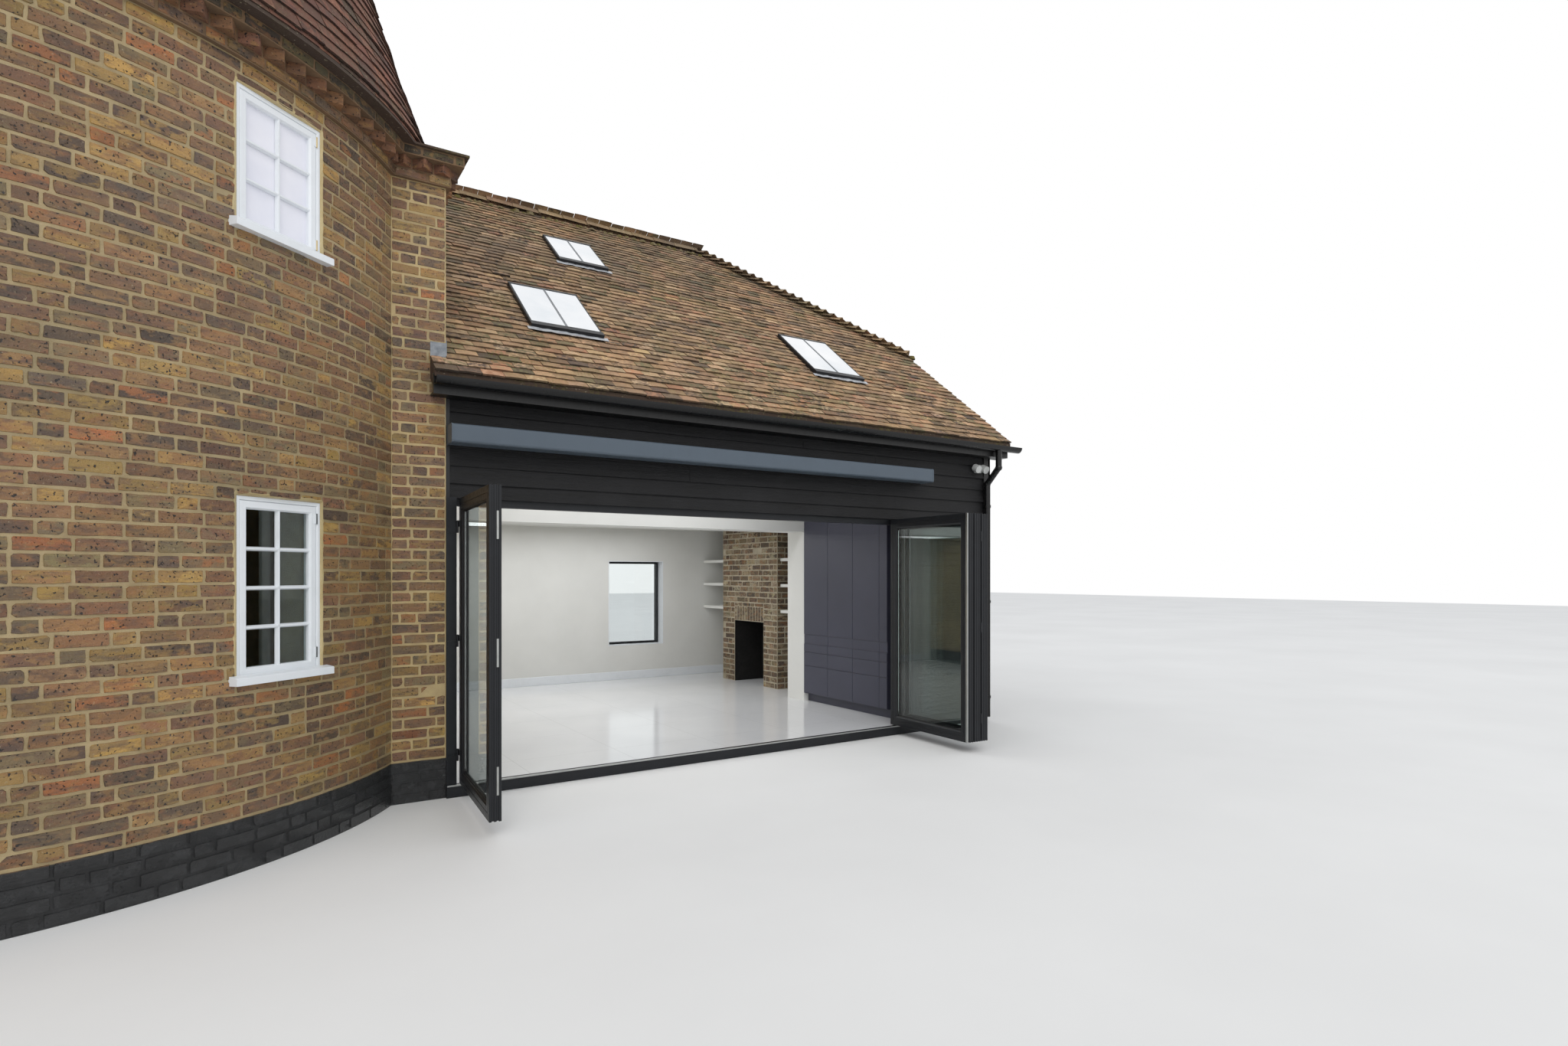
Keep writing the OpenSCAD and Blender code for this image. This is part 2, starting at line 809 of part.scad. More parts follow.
module chimney_breast() {
    y1 = rear_in_y - alcove_w;
    y0 = y1 - breast_w;
    x0 = right_x - breast_d;
    hearth_y = y0 + (breast_w - hearth_w) / 2;
    color(brick) difference() {
        block([x0, y0, floor_h], [right_x, y1, wing_loft_z - loft_floor_t]);
        block([x0 - 1, hearth_y, floor_h - 1], [x0 + hearth_d, hearth_y + hearth_w, floor_h + hearth_h]);
    }
}

// Shelves between the rear wall and the chimney breast, and between the breast and the portal
module alcove_shelves() {
    breast_y1 = rear_in_y - alcove_w;
    color(white_paint) for (i = [0:shelf_count - 1]) {
        z = shelf_z + i * shelf_pitch;
        block([right_x - shelf_d, breast_y1, z], [right_x, rear_in_y, z + shelf_t]);
        block([right_x - shelf_d, portal_y + portal_t, z], [right_x, breast_y1 - breast_w, z + shelf_t]);
    }
}

module fitted_cupboards() {
    x0 = right_x - nib_l + cupboard_in;
    y0 = front_y + wing_wall_t;
    color("#2b3648") {
        block([x0 + toe_d, y0, floor_h], [right_x, portal_y, floor_h + plinth_h + 1]);
        block([x0, y0, floor_h + plinth_h], [right_x, portal_y, cupboard_z]);
    }
}

// A sloping slab of roof in profile: full thickness behind the fascia, tiles alone past it
module slope_profile(low_a, low_z, high_a) {
    way = sign(high_a - low_a);
    back = low_a + way * (tile_lip + fascia_t);
    top = function(a) low_z + abs(a - low_a) * slope;
    polygon([
        [low_a, low_z], [high_a, top(high_a)], [high_a, top(high_a) - roof_v],
        [back, top(back) - roof_v], [back, top(back) - tile_v], [low_a, low_z - tile_v]
    ]);
}

// Places a piece on the tiles of the front slope, x along the wing, y up the slope
module on_front_slope(x, rise) {
    translate([x, eaves_y + rise / slope, front_eaves_z + rise]) rotate([pitch, 0, 0]) children();
}

module at_rooflights() {
    on_front_slope(wing_x + low_light_x, low_light_z) children(0);
    on_front_slope(wing_x + low_light_x + low_light_pitch, low_light_z) children(0);
    on_front_slope(wing_x + high_light_x, high_light_z) children(1);
}

module light_hole(w, l) {
    translate([-w / 2, -l / 2, -2 * roof_t]) cube([w, l, 4 * roof_t]);
}

module light_frame(w, l) {
    inner_w = w - 2 * light_frame_w;
    inner_l = l - 2 * light_frame_w;
    difference() {
        translate([-w / 2, -l / 2, -roof_t]) cube([w, l, roof_t + light_kerb]);
        translate([-inner_w / 2, -inner_l / 2, -2 * roof_t]) cube([inner_w, inner_l, 4 * roof_t]);
    }
}

module light_pane(w, l) {
    inner_w = w - 2 * light_frame_w;
    inner_l = l - 2 * light_frame_w;
    translate([-inner_w / 2, -inner_l / 2, light_kerb - pane_drop - glass_t])
        cube([inner_w, inner_l, glass_t]);
}

module roof_front_slope() {
    lap_y = -pier_front - fit;
    color(tile_brown) difference() {
        intersection() {
            along_x(gable_x, hip_x) slope_profile(eaves_y, front_eaves_z, ridge_y);
            linear_extrude(far) polygon([
                [wing_x - eaves_lap, eaves_y], [verge_x, eaves_y], [verge_x, hip_front_y + tile_lip],
                [ridge_x1, ridge_y], [gable_x, ridge_y], [gable_x, 0], [wing_x, 0], [wing_x, lap_y],
                [wing_x - eaves_lap, lap_y]
            ]);
        }
        roundel_envelope(roof_fit);
        at_rooflights() {
            light_hole(low_light_w, low_light_l);
            light_hole(high_light_w, high_light_l);
        }
    }
}

module roof_rear_slope() {
    color(tile_brown) difference() {
        intersection() {
            along_x(gable_x, hip_x) slope_profile(rear_eaves_y, high_eaves_z, ridge_y);
            linear_extrude(far) polygon([
                [gable_x, ridge_y], [ridge_x1, ridge_y], [hip_x, rear_eaves_y], [gable_x, rear_eaves_y]
            ]);
        }
        roundel_envelope(roof_fit);
    }
}

module roof_half_hip() {
    color(tile_brown) intersection() {
        along_y(eaves_y, rear_eaves_y) slope_profile(hip_x, high_eaves_z, ridge_x1 - roof_t);
        linear_extrude(far) polygon([[ridge_x1, ridge_y], [hip_x, hip_front_y], [hip_x, rear_eaves_y]]);
    }
}

// A straight run of half-round tiles on their mortar between two points of the roof's edges
module half_round_run(from, to) {
    way = to - from;
    translate(from - [0, 0, ridge_tile_sink])
        rotate([0, 90 - atan2(way[2], norm([way[0], way[1]])), atan2(way[1], way[0])])
            cylinder(r = ridge_tile_r, h = norm(way));
}

module ridge_tiles() {
    top = [ridge_x1, ridge_y, ridge_z];
    color(tile_brown) difference() {
        union() {
            half_round_run([gable_x, ridge_y, ridge_z], top);
            half_round_run(top, [hip_x, hip_front_y, high_eaves_z]);
            half_round_run(top, [hip_x, rear_eaves_y, high_eaves_z]);
            translate(top - [0, 0, ridge_tile_sink]) sphere(r = ridge_tile_r + 1);
        }
        under_roof(-fit);
        block([hip_x, -far, 0], [2 * far, far, far]);
        block([0, rear_eaves_y, 0], [far, far, far]);
    }
}

module rooflight_frames() {
    color("#2c2e31") at_rooflights() {
        light_frame(low_light_w, low_light_l);
        light_frame(high_light_w, high_light_l);
    }
}

module rooflight_glass() {
    color(clear_glass) at_rooflights() {
        light_pane(low_light_w, low_light_l);
        light_pane(high_light_w, high_light_l);
    }
}

// Fascia and soffit in profile; the fascia's face is at 0 and the wall at depth
module eaves_profile(depth, top_z) {
    translate([0, top_z - fascia_h]) {
        square([fascia_t, fascia_h]);
        square([depth, fascia_t / 2]);
    }
}

// Height of the fascia's top under the tiles of an edge
function fascia_top(edge_z) = edge_z + tile_lip * slope - tile_v - fit;

module fascia_and_soffit() {
    low_z = fascia_top(front_eaves_z);
    high_z = fascia_top(high_eaves_z);
    face_y = eaves_y + tile_lip;
    color("#1d1e20") {
        along_x(wing_x, verge_x) translate([face_y, 0]) eaves_profile(front_y - face_y, low_z);
        along_x(wing_x - eaves_lap, wing_x + 1) translate([face_y, 0])
            eaves_profile(-pier_front - face_y, low_z);
        along_x(gable_x, verge_x) translate([rear_eaves_y - tile_lip, 0]) mirror([1, 0])
            eaves_profile(eaves_out - tile_lip, high_z);
        along_y(hip_front_y + tile_lip + fascia_t + fit, rear_eaves_y - tile_lip)
            translate([verge_x, 0]) mirror([1, 0]) eaves_profile(hip_out - tile_lip, high_z);
    }
}

module gutter_ring() {
    difference() {
        circle(gutter_r);
        circle(gutter_r - gutter_t);
        translate([-gutter_r - 1, 0]) square([2 * gutter_r + 2, gutter_r + 1]);
    }
}

gutter_y = eaves_y + tile_lip - gutter_r;
rear_gutter_y = rear_eaves_y - tile_lip + gutter_r;
hip_gutter_x = verge_x + gutter_r;
low_rim = front_eaves_z - gutter_drop;
high_rim = high_eaves_z - gutter_drop;

module gutters() {
    end_x = hip_gutter_x + gutter_r;
    color("#1b1c1e") {
        along_x(wing_x - eaves_lap, end_x) translate([gutter_y, low_rim]) gutter_ring();
        along_y(hip_front_y, rear_gutter_y + gutter_r) translate([hip_gutter_x, high_rim]) gutter_ring();
        along_x(gable_x, hip_gutter_x) translate([rear_gutter_y, high_rim]) gutter_ring();
    }
}

// A slanting pipe between two points, with a round socket at each end
module offset_pipe(from, to, r) {
    way = to - from;
    translate(from) rotate([0, 90 - atan2(way[2], norm([way[0], way[1]])), atan2(way[1], way[0])])
        cylinder(r = r, h = norm(way));
    translate(from) sphere(r + socket_t);
    translate(to) sphere(r + socket_t);
}

// A pipe from a gutter, back under the eaves and down the wall; the wall is at wall_y
module downpipe(x, gutter_at, wall_y, rim_z) {
    side = sign(wall_y - gutter_at);
    pipe_y = wall_y - side * (pipe_r + pipe_stand);
    neck_z = rim_z - neck_drop;
    back_z = neck_z - abs(pipe_y - gutter_at);
    difference() {
        union() {
            translate([x, gutter_at, neck_z]) cylinder(r = pipe_r, h = rim_z - neck_z);
            offset_pipe([x, gutter_at, neck_z], [x, pipe_y, back_z], pipe_r);
            translate([x, pipe_y, shoe_z]) cylinder(r = pipe_r, h = back_z - shoe_z);
            for (share = [0.1, 0.5, 0.9]) {
                z = share * back_z;
                translate([x, pipe_y, z]) cylinder(r = pipe_r + clip_t, h = clip_h);
                translate([x - pipe_r / 2, min(pipe_y, wall_y), z])
                    cube([pipe_r, pipe_r + pipe_stand, clip_h]);
            }
        }
        along_x(x - far / 10, x + far / 10) translate([gutter_at, rim_z]) circle(gutter_r + fit);
    }
}

module downpipes() {
    color("#1b1c1e") {
        downpipe(wing_x1 - pipe_in, gutter_y, front_y, low_rim);
        downpipe(wing_x1 - pipe_in, rear_gutter_y, wing_rear, high_rim);
    }
}

module awning_cassette() {
    back_y = front_y - cassette_gap;
    x0 = wing_x + cassette_end;
    cassette_l = door_w - cassette_end + cassette_past;
    color("#5f6c75") {
        along_x(x0, x0 + cassette_l) translate([back_y, cassette_z]) {
            for (z = [cassette_round, cassette_h - cassette_round])
                translate([cassette_round - cassette_d, z]) circle(cassette_round);
            translate([cassette_round - cassette_d, 0]) square([cassette_d - cassette_round, cassette_h]);
            translate([-cassette_d, cassette_round]) square([cassette_d, cassette_h - 2 * cassette_round]);
        }
        for (share = [0.06, 0.5, 0.94])
            translate([x0 + share * cassette_l - bracket_w / 2, back_y - 1, cassette_z + bracket_in])
                cube([bracket_w, cassette_gap + 1, cassette_h - 2 * bracket_in]);
    }
}

// Twin light: a box on the wall, a bar, two tilted heads and the sensor's eye
module security_light() {
    bar = lamp_box / 4;
    box_y = front_y - lamp_box_d;
    color("#d8dadb") translate([wing_x1 - lamp_in, 0, lamp_z]) {
        block([-lamp_box / 2, box_y, -lamp_box / 2], [lamp_box / 2, front_y, lamp_box / 2]);
        block([-lamp_head_pitch / 2, box_y - bar + 1, 0], [lamp_head_pitch / 2, box_y + 1, bar]);
        for (side = [-1, 1])
            translate([side * lamp_head_pitch / 2, box_y, bar / 2]) rotate([90 + lamp_tilt, 0, 0])
                cylinder(r = lamp_head_r, h = lamp_head_l);
        translate([0, box_y, -lamp_box / 2]) sphere(lamp_eye_r);
    }
}

// Lead upstand along the joint of the front slope and the pier, and the apron on the pier's face
module lead_flashing() {
    y0 = -pier_front;
    y1 = -doorway_w / 2;
    color(lead_grey) along_x(wing_x, wing_x + lead_t) polygon([
        [y0, front_top(y0) + fit], [y1, front_top(y1) + fit],
        [y1, front_top(y1) + lead_h], [y0, front_top(y0) + lead_h]
    ]);
    color(lead_grey) block([wing_x - eaves_lap, y0 - lead_t, front_top(y0) + fit],
        [wing_x + lead_t, y0, front_top(y0) + apron_h]);
}

// Fixed half of a hinge with its pin, on the jamb
module hinge_fixed(z) {
    translate([hinge_x, hinge_y, z]) {
        cylinder(r = knuckle_r, h = knuckle_h);
        cylinder(r = pin_r, h = 2 * knuckle_h + 2);
        translate([-jamb_w + leaf_gap, hinge_out / 2, 0]) cube([jamb_w - leaf_gap, hinge_out / 2, knuckle_h]);
        translate([-knuckle_r, 0, 0]) cube([knuckle_r, hinge_out, knuckle_h]);
    }
}

// Moving half, in the leaf's own place with the hinge axis at the origin
module hinge_moving(z) {
    translate([0, 0, z + knuckle_h + fit]) difference() {
        union() {
            cylinder(r = knuckle_r, h = knuckle_h);
            translate([0, hinge_out / 2, 0]) cube([jamb_w, hinge_out / 2, knuckle_h]);
            cube([knuckle_r, hinge_out, knuckle_h]);
        }
        translate([0, 0, -1]) cylinder(r = pin_r + pin_play, h = knuckle_h + 2);
    }
}

hinge_heights = [for (share = [0.1, 0.5, 0.9]) leaf_z + share * leaf_h - knuckle_h];

// Jambs, the head behind the leaves' tops, and the nosing of the sill
module door_frame() {
    back_y = frame_y + frame_depth;
    color("#1f2124") {
        block([wing_x, frame_y, floor_h], [wing_x + jamb_w, back_y, door_top_z]);
        block([door_x1 - jamb_w, frame_y, floor_h], [door_x1, back_y, door_top_z]);
        block([wing_x, frame_y + leaf_t + leaf_gap, door_top_z - head_h], [door_x1, back_y, door_top_z]);
        block([wing_x, frame_y - sill_lip, 0], [door_x1, nosing_y, floor_h]);
        for (z = hinge_heights) hinge_fixed(z);
    }
}

// A leaf from its hinged edge at x = 0, its outer face at y = 0
module leaf_frame() {
    difference() {
        translate([0, 0, leaf_z]) cube([leaf_w, leaf_t, leaf_h]);
        translate([stile_w, -1, leaf_z + stile_w])
            cube([leaf_w - 2 * stile_w, leaf_t + 2, leaf_h - 2 * stile_w]);
    }
}

module leaf_glass() {
    translate([stile_w, (leaf_t - leaf_glass_t) / 2, leaf_z + stile_w])
        cube([leaf_w - 2 * stile_w, leaf_glass_t, leaf_h - 2 * stile_w]);
}

module at_access_leaf() {
    translate([hinge_x, hinge_y, 0]) rotate([0, 0, -leaf_open]) children();
}

module access_leaf() {
    color(frame_grey) at_access_leaf() {
        translate([leaf_gap / 2, hinge_out, 0]) leaf_frame();
        for (z = hinge_heights) hinge_moving(z);
    }
}

module access_leaf_glass() {
    color(clear_glass) at_access_leaf() translate([leaf_gap / 2, hinge_out, 0]) leaf_glass();
}

folded_count = leaf_count - 1;
fold_pitch = leaf_t + fold_gap;
fold_x = door_x1 - jamb_w - fold_stand - leaf_t;
fold_y = frame_y + fold_in;

// Places a piece in the stack of folded leaves, x from the frame to the free ends, y towards the jamb
module in_stack() {
    translate([fold_x, fold_y, 0]) rotate([0, 0, -90 - fold_lean]) children();
}

module at_folded_leaves() {
    in_stack() for (i = [0:folded_count - 1]) translate([0, -i * fold_pitch, 0]) children();
}

// The leaves folded flat against each other, hinged at alternate ends, the first one to the jamb
module folded_leaves() {
    color(frame_grey) {
        at_folded_leaves() leaf_frame();
        in_stack() for (i = [1:folded_count - 1], z = hinge_heights)
            translate([i % 2 == 1 ? leaf_w : 0, leaf_t + fold_gap / 2 - i * fold_pitch, z])
                cylinder(r = fold_gap / 2 + 1, h = 2 * knuckle_h);
        for (z = hinge_heights) {
            block([fold_x + leaf_t / 2, fold_y - stile_w / 2, z],
                [door_x1 - jamb_w, fold_y - stile_w / 2 + knuckle_r, z + 2 * knuckle_h]);
            translate([door_x1 - jamb_w - fold_stand / 2, fold_y - stile_w / 2, z])
                cylinder(r = knuckle_r, h = 2 * knuckle_h);
        }
    }
}

module folded_leaf_glass() {
    color(clear_glass) at_folded_leaves() leaf_glass();
}

// A flat piece in the rear window's hole, inside a margin, between two depths from the wall's face
module in_rear_hole(margin, depth0, depth1) {
    translate([wing_x + rear_window_x + margin, wing_rear - depth1, rear_window_z + margin])
        cube([rear_window_w - 2 * margin, depth1 - depth0, rear_window_h - 2 * margin]);
}

module rear_window() {
    depth1 = rear_setback + rear_frame_d;
    color("#1f2124") difference() {
        in_rear_hole(0, rear_setback, depth1);
        in_rear_hole(rear_frame_w, rear_setback - 1, depth1 + 1);
    }
}

module rear_window_glass() {
    middle = rear_setback + rear_frame_d / 2;
    color(clear_glass) in_rear_hole(rear_frame_w, middle - glass_t / 2, middle + glass_t / 2);
}

roundel_wall_front();
roundel_wall_front_left();
roundel_wall_left();
roundel_wall_back_left();
roundel_wall_back();
roundel_wall_doorway_front();
roundel_wall_doorway_back();
roundel_wall_over_doorway();
roundel_floor();
roundel_upper_floor();
roundel_windows();
roundel_window_glass();
cornice();
cone_roof();
cowl_curb();
cowl_post();
cowl_shell();
cowl_top_ring();
wind_vane();
pier();
pier_cap();
party_wall();
front_wall_over_doors();
front_wall_right();
right_wall();
rear_wall();
wing_floor();
wing_upper_floor();
portal();
chimney_breast();
alcove_shelves();
fitted_cupboards();
roof_front_slope();
roof_rear_slope();
roof_half_hip();
ridge_tiles();
rooflight_frames();
rooflight_glass();
fascia_and_soffit();
gutters();
downpipes();
awning_cassette();
security_light();
lead_flashing();
door_frame();
access_leaf();
access_leaf_glass();
folded_leaves();
folded_leaf_glass();
rear_window();
rear_window_glass();
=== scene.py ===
"""An oast house in metres: bricks, clay tiles, boards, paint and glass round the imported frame."""

from itertools import groupby
from math import asin, atan2, cos, pi, radians, sin, tan

import bmesh
import bpy
import numpy as np
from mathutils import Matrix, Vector


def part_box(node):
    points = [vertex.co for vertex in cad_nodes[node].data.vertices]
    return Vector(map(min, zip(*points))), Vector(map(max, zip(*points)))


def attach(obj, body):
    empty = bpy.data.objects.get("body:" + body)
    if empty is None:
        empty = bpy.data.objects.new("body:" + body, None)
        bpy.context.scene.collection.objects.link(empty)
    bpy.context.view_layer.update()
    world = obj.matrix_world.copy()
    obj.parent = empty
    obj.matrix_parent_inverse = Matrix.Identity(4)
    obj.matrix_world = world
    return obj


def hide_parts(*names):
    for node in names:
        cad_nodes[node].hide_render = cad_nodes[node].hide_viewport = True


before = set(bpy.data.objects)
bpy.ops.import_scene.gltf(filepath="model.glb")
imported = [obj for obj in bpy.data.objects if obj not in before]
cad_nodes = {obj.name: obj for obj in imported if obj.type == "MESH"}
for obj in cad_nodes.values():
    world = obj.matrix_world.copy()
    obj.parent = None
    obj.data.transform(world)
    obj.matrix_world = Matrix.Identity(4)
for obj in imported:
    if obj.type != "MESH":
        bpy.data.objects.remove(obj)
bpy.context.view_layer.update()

# Sizes read off the frame
pier_low, pier_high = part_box("pier")
roundel_r, pier_front, wall_top = pier_high.x, pier_low.y, pier_high.z
floor_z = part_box("wing_floor")[1].z
soffit_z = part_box("fascia_and_soffit")[0].z
cornice_low, cornice_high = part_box("cornice")
cornice_course = (cornice_high.z - cornice_low.z) / 3
cone_low, cone_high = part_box("cone_roof")
cone_h = cone_high.z - cone_low.z
cone_top_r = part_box("cowl_curb")[1].x - 0.04
cowl_low, cowl_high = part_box("cowl_shell")
wing_x0, wing_front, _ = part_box("front_wall_over_doors")[0]
wing_x1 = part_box("right_wall")[1].x
wing_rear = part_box("rear_wall")[1].y
party_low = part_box("party_wall")[0]
door_low, door_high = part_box("door_frame")
rear_window_low, rear_window_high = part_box("rear_window")
front_slope_low, front_slope_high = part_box("roof_front_slope")
rear_slope_low, rear_slope_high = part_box("roof_rear_slope")

# Sizes repeated from the part's source
pitch = radians(38)
string_out, oversail_out = 0.03, 0.11
cone_out, flare, flare_h = 0.13, 0.06, 1.14
window_angles = [radians(-50.5 - 120 * i) for i in range(3)]
window_w = 0.58
upper_window = (3.60, 4.43)
lower_window = (1.05, 2.12)
window_setback = 0.020
foot_paint_z = 0.30
vane_top = cowl_low.z + 0.255

# Sizes of bricks, tiles and boards
course = 0.07705
mortar_joint = 0.0150
brick_units = (0.2255, 0.2255, 0.1128)
brick_proud = 0.0035
tile_gauge, tile_w, tile_t = 0.098, 0.165, 0.016
tile_gap = 0.0015
board_step = 0.135

# Lines of the wing's roof, and the feet and top of its hips
eaves_y, verge_x = front_slope_low.y, front_slope_high.x
ridge_y, ridge_z = front_slope_high.y, front_slope_high.z
gable_x, hip_x, rear_eaves_y = rear_slope_low.x, rear_slope_high.x, rear_slope_high.y
eaves_z = ridge_z - (ridge_y - eaves_y) * tan(pitch)
high_eaves_z = ridge_z - (rear_eaves_y - ridge_y) * tan(pitch)
ridge_x1 = hip_x - (ridge_z - high_eaves_z) / tan(pitch)
hip_front_y = ridge_y - (hip_x - ridge_x1)
hip_top = Vector((ridge_x1, ridge_y, ridge_z))
hip_feet = [Vector((hip_x, y, high_eaves_z)) for y in (hip_front_y, rear_eaves_y)]
roof_depth = 0.12 / cos(pitch)


def dice(name):
    """Random numbers that depend on a name alone."""
    return np.random.default_rng(sum(ord(c) * (i + 1) for i, c in enumerate(name)))


def linear(rgb):
    """A colour of 0 to 255 a channel, as seen on a screen, in linear light."""
    c = np.array(rgb, float) / 255
    return np.where(c <= 0.04045, c / 12.92, ((c + 0.055) / 1.055) ** 2.4)


def rgba(rgb):
    return (*linear(rgb), 1.0)


class Graph:
    """A material's nodes: each method adds one and gives back its output."""

    def __init__(self, name, **values):
        self.material = bpy.data.materials.new(name)
        self.material.use_nodes = True
        self.tree = self.material.node_tree
        self.tree.nodes.clear()
        out = self.tree.nodes.new("ShaderNodeOutputMaterial")
        self.surface = self.tree.nodes.new("ShaderNodeBsdfPrincipled")
        self.tree.links.new(self.surface.outputs[0], out.inputs[0])
        self.where = self.node("TexCoord").outputs["Object"]
        self.set(**values)

    def node(self, kind, **settings):
        made = self.tree.nodes.new("ShaderNode" + kind)
        for key, value in settings.items():
            setattr(made, key, value)
        return made

    def put(self, socket, value):
        """Links a node's output to a socket, or sets its value; a colour is given as 0 to 255 a channel."""
        if isinstance(value, bpy.types.NodeSocket):
            self.tree.links.new(value, socket)
        elif isinstance(value, tuple) and len(value) == 3 and len(socket.default_value) == 4:
            socket.default_value = rgba(value)
        else:
            socket.default_value = value

    def noise(self, scale, detail=4.0, rough=0.55, where=None, stretch=None):
        made = self.node("TexNoise")
        for socket, number in (("Scale", scale), ("Detail", detail), ("Roughness", rough)):
            made.inputs[socket].default_value = number
        at = where or self.where
        self.put(made.inputs["Vector"], self.mapping(at, stretch) if stretch else at)
        return made.outputs["Fac"]

    def mapping(self, where, scale):
        made = self.node("Mapping")
        made.inputs["Scale"].default_value = scale
        self.put(made.inputs["Vector"], where)
        return made.outputs[0]

    def tint(self, name):
        return self.node("Attribute", attribute_name=name).outputs["Color"]

    def scale(self, value, low, high, to_low=0.0, to_high=1.0):
        made = self.node("MapRange")
        for socket, number in zip(("From Min", "From Max", "To Min", "To Max"), (low, high, to_low, to_high)):
            made.inputs[socket].default_value = number
        self.put(made.inputs["Value"], value)
        return made.outputs[0]

    def mix(self, share, a, b, way="MIX"):
        made = self.node("Mix", data_type="RGBA", blend_type=way)
        self.put(made.inputs[0], share)
        self.put(made.inputs[6], a)
        self.put(made.inputs[7], b)
        return made.outputs[2]

    def stain(self, body, tone, noise, fit):
        """Lays a tone over a body where a noise is high: fit maps that noise to the tone's share."""
        return self.mix(self.scale(self.noise(*noise), *fit), body, tone)

    def math(self, way, a, b=0.0):
        made = self.node("Math", operation=way)
        self.put(made.inputs[0], a)
        self.put(made.inputs[1], b)
        return made.outputs[0]

    def part(self, axis):
        made = self.node("SeparateXYZ")
        self.put(made.inputs[0], self.where)
        return made.outputs[axis]

    def bump(self, height, distance):
        made = self.node("Bump")
        made.inputs["Distance"].default_value = distance
        made.inputs["Strength"].default_value = 1.0
        self.put(made.inputs["Height"], height)
        return made.outputs[0]

    def set(self, **values):
        for socket, value in values.items():
            self.put(self.surface.inputs[socket.replace("_", " ")], value)
        return self.material


def foot_paint(g, colour, rough):
    """Black paint on the lowest bricks, with an edge that wavers a little."""
    edge = g.math("ADD", g.part("Z"), g.scale(g.noise(9.0), 0, 1, -0.006, 0.006))
    share = g.scale(edge, foot_paint_z - 0.003, foot_paint_z + 0.003, 1, 0)
    dusty = g.stain((20, 21, 23), (46, 47, 49), (14.0,), (0.4, 0.8))
    return g.mix(share, colour, dusty), g.mix(share, rough, (0.45, 0.45, 0.45))


def brick_material(name, aged, painted=True):
    """Stock bricks: two tints each, streaks and kiln marks in the brick's own lengthwise place."""
    g = Graph(name)
    spot = g.tint("spot")
    streak = g.noise(13.0, 5.0, 0.62, spot, (0.55, 1.0, 2.6))
    body = g.stain(g.tint("tint"), g.tint("tint2"), (11.0, 3.0, 0.55, spot, (1.0, 1.0, 1.9)), (0.46, 0.55))
    body = g.mix(g.scale(streak, 0.50, 0.66, 0, 0.60), body, (88, 70, 62))
    body = g.stain(body, (162, 124, 74), (17.0, 3.0, 0.6, spot, (0.8, 1.0, 1.4)), (0.56, 0.68, 0, 0.60))
    body = g.stain(body, (160, 106, 66), (9.0, 4.0, 0.6, spot, (0.7, 1.0, 1.8)), (0.55, 0.66, 0, 0.5))
    body = g.stain(body, (70, 56, 48), (170.0, 6.0, 0.7), (0.38, 0.75, 0, 0.32))
    # Pits: small holes whose near-black colour is painted shade inside them; the bump sinks them too
    pits = g.scale(g.noise(72.0, 2.0, 0.5), 0.635, 0.675)
    body = g.mix(pits, body, (40, 34, 32))
    body = g.stain(body, (190, 176, 140), (48.0, 5.0, 0.7), (0.63, 0.74, 0, 0.7))
    body = g.stain(body, (64, 56, 48), (1.1, 4.0, 0.6, None, (1.0, 1.0, 0.6)), (0.45, 0.75, 0, aged))
    height = g.math("ADD", g.noise(60.0, 8.0, 0.75), g.math("MULTIPLY", pits, -0.6))
    height = g.math("ADD", height, g.math("MULTIPLY", streak, -0.5))
    rough = 0.9
    if painted:
        body, rough = foot_paint(g, body, (0.9, 0.9, 0.9))
    return g.set(Base_Color=body, Roughness=rough, Normal=g.bump(height, 0.008))


def mortar_material(name, light, dark, painted=True):
    """Yellowish lime mortar with sand in it, flush and a little ragged."""
    g = Graph(name)
    colour = g.stain(dark, light, (6.0, 5.0), (0.35, 0.65))
    colour = g.stain(colour, (128, 114, 84), (420.0, 3.0, 0.7), (0.4, 0.8, 0, 0.4))
    colour = g.stain(colour, (122, 112, 82), (1.2, 3.0), (0.5, 0.72, 0, 0.55))
    rough = 0.95
    if painted:
        colour, rough = foot_paint(g, colour, (0.95, 0.95, 0.95))
    return g.set(Base_Color=colour, Roughness=rough, Normal=g.bump(g.noise(200.0, 5.0, 0.7), 0.004))


def tile_material(name, moss_tone, moss_share, soot, soot_tone, faded=0.0):
    """Hand-made clay tiles: two tints each, with lichen, soot and moss; the highest ones can be faded."""
    g = Graph(name)
    body = g.stain(g.tint("tint"), g.tint("tint2"), (26.0, 4.0, 0.6), (0.42, 0.60))
    body = g.stain(body, (60, 48, 40), (240.0, 4.0, 0.7), (0.45, 0.8, 0, 0.45))
    body = g.stain(body, soot_tone, (1.5, 5.0, 0.65), (0.44, 0.72, 0, soot))
    patch = g.scale(g.noise(0.9, 3.0), 0.42, 0.62, 0, faded)
    high = g.math("MULTIPLY", g.scale(g.part("Z"), 3.7, 5.4), patch)
    body = g.mix(high, body, (112, 102, 90))
    body = g.stain(body, (164, 156, 128), (45.0, 3.0, 0.6), (0.64, 0.70, 0, 0.6))
    beds, tufts = g.scale(g.noise(2.6, 4.0, 0.6), 0.48, 0.70), g.scale(g.noise(55.0, 3.0), 0.43, 0.58)
    moss = g.math("MULTIPLY", beds, tufts)
    body = g.mix(g.math("MULTIPLY", moss, moss_share), body, moss_tone)
    height = g.math("ADD", g.noise(80.0, 6.0, 0.7), g.math("MULTIPLY", moss, 0.8))
    return g.set(Base_Color=g.mix(1.0, body, g.tint("shade"), "MULTIPLY"), Roughness=0.86,
                 Normal=g.bump(height, 0.004))


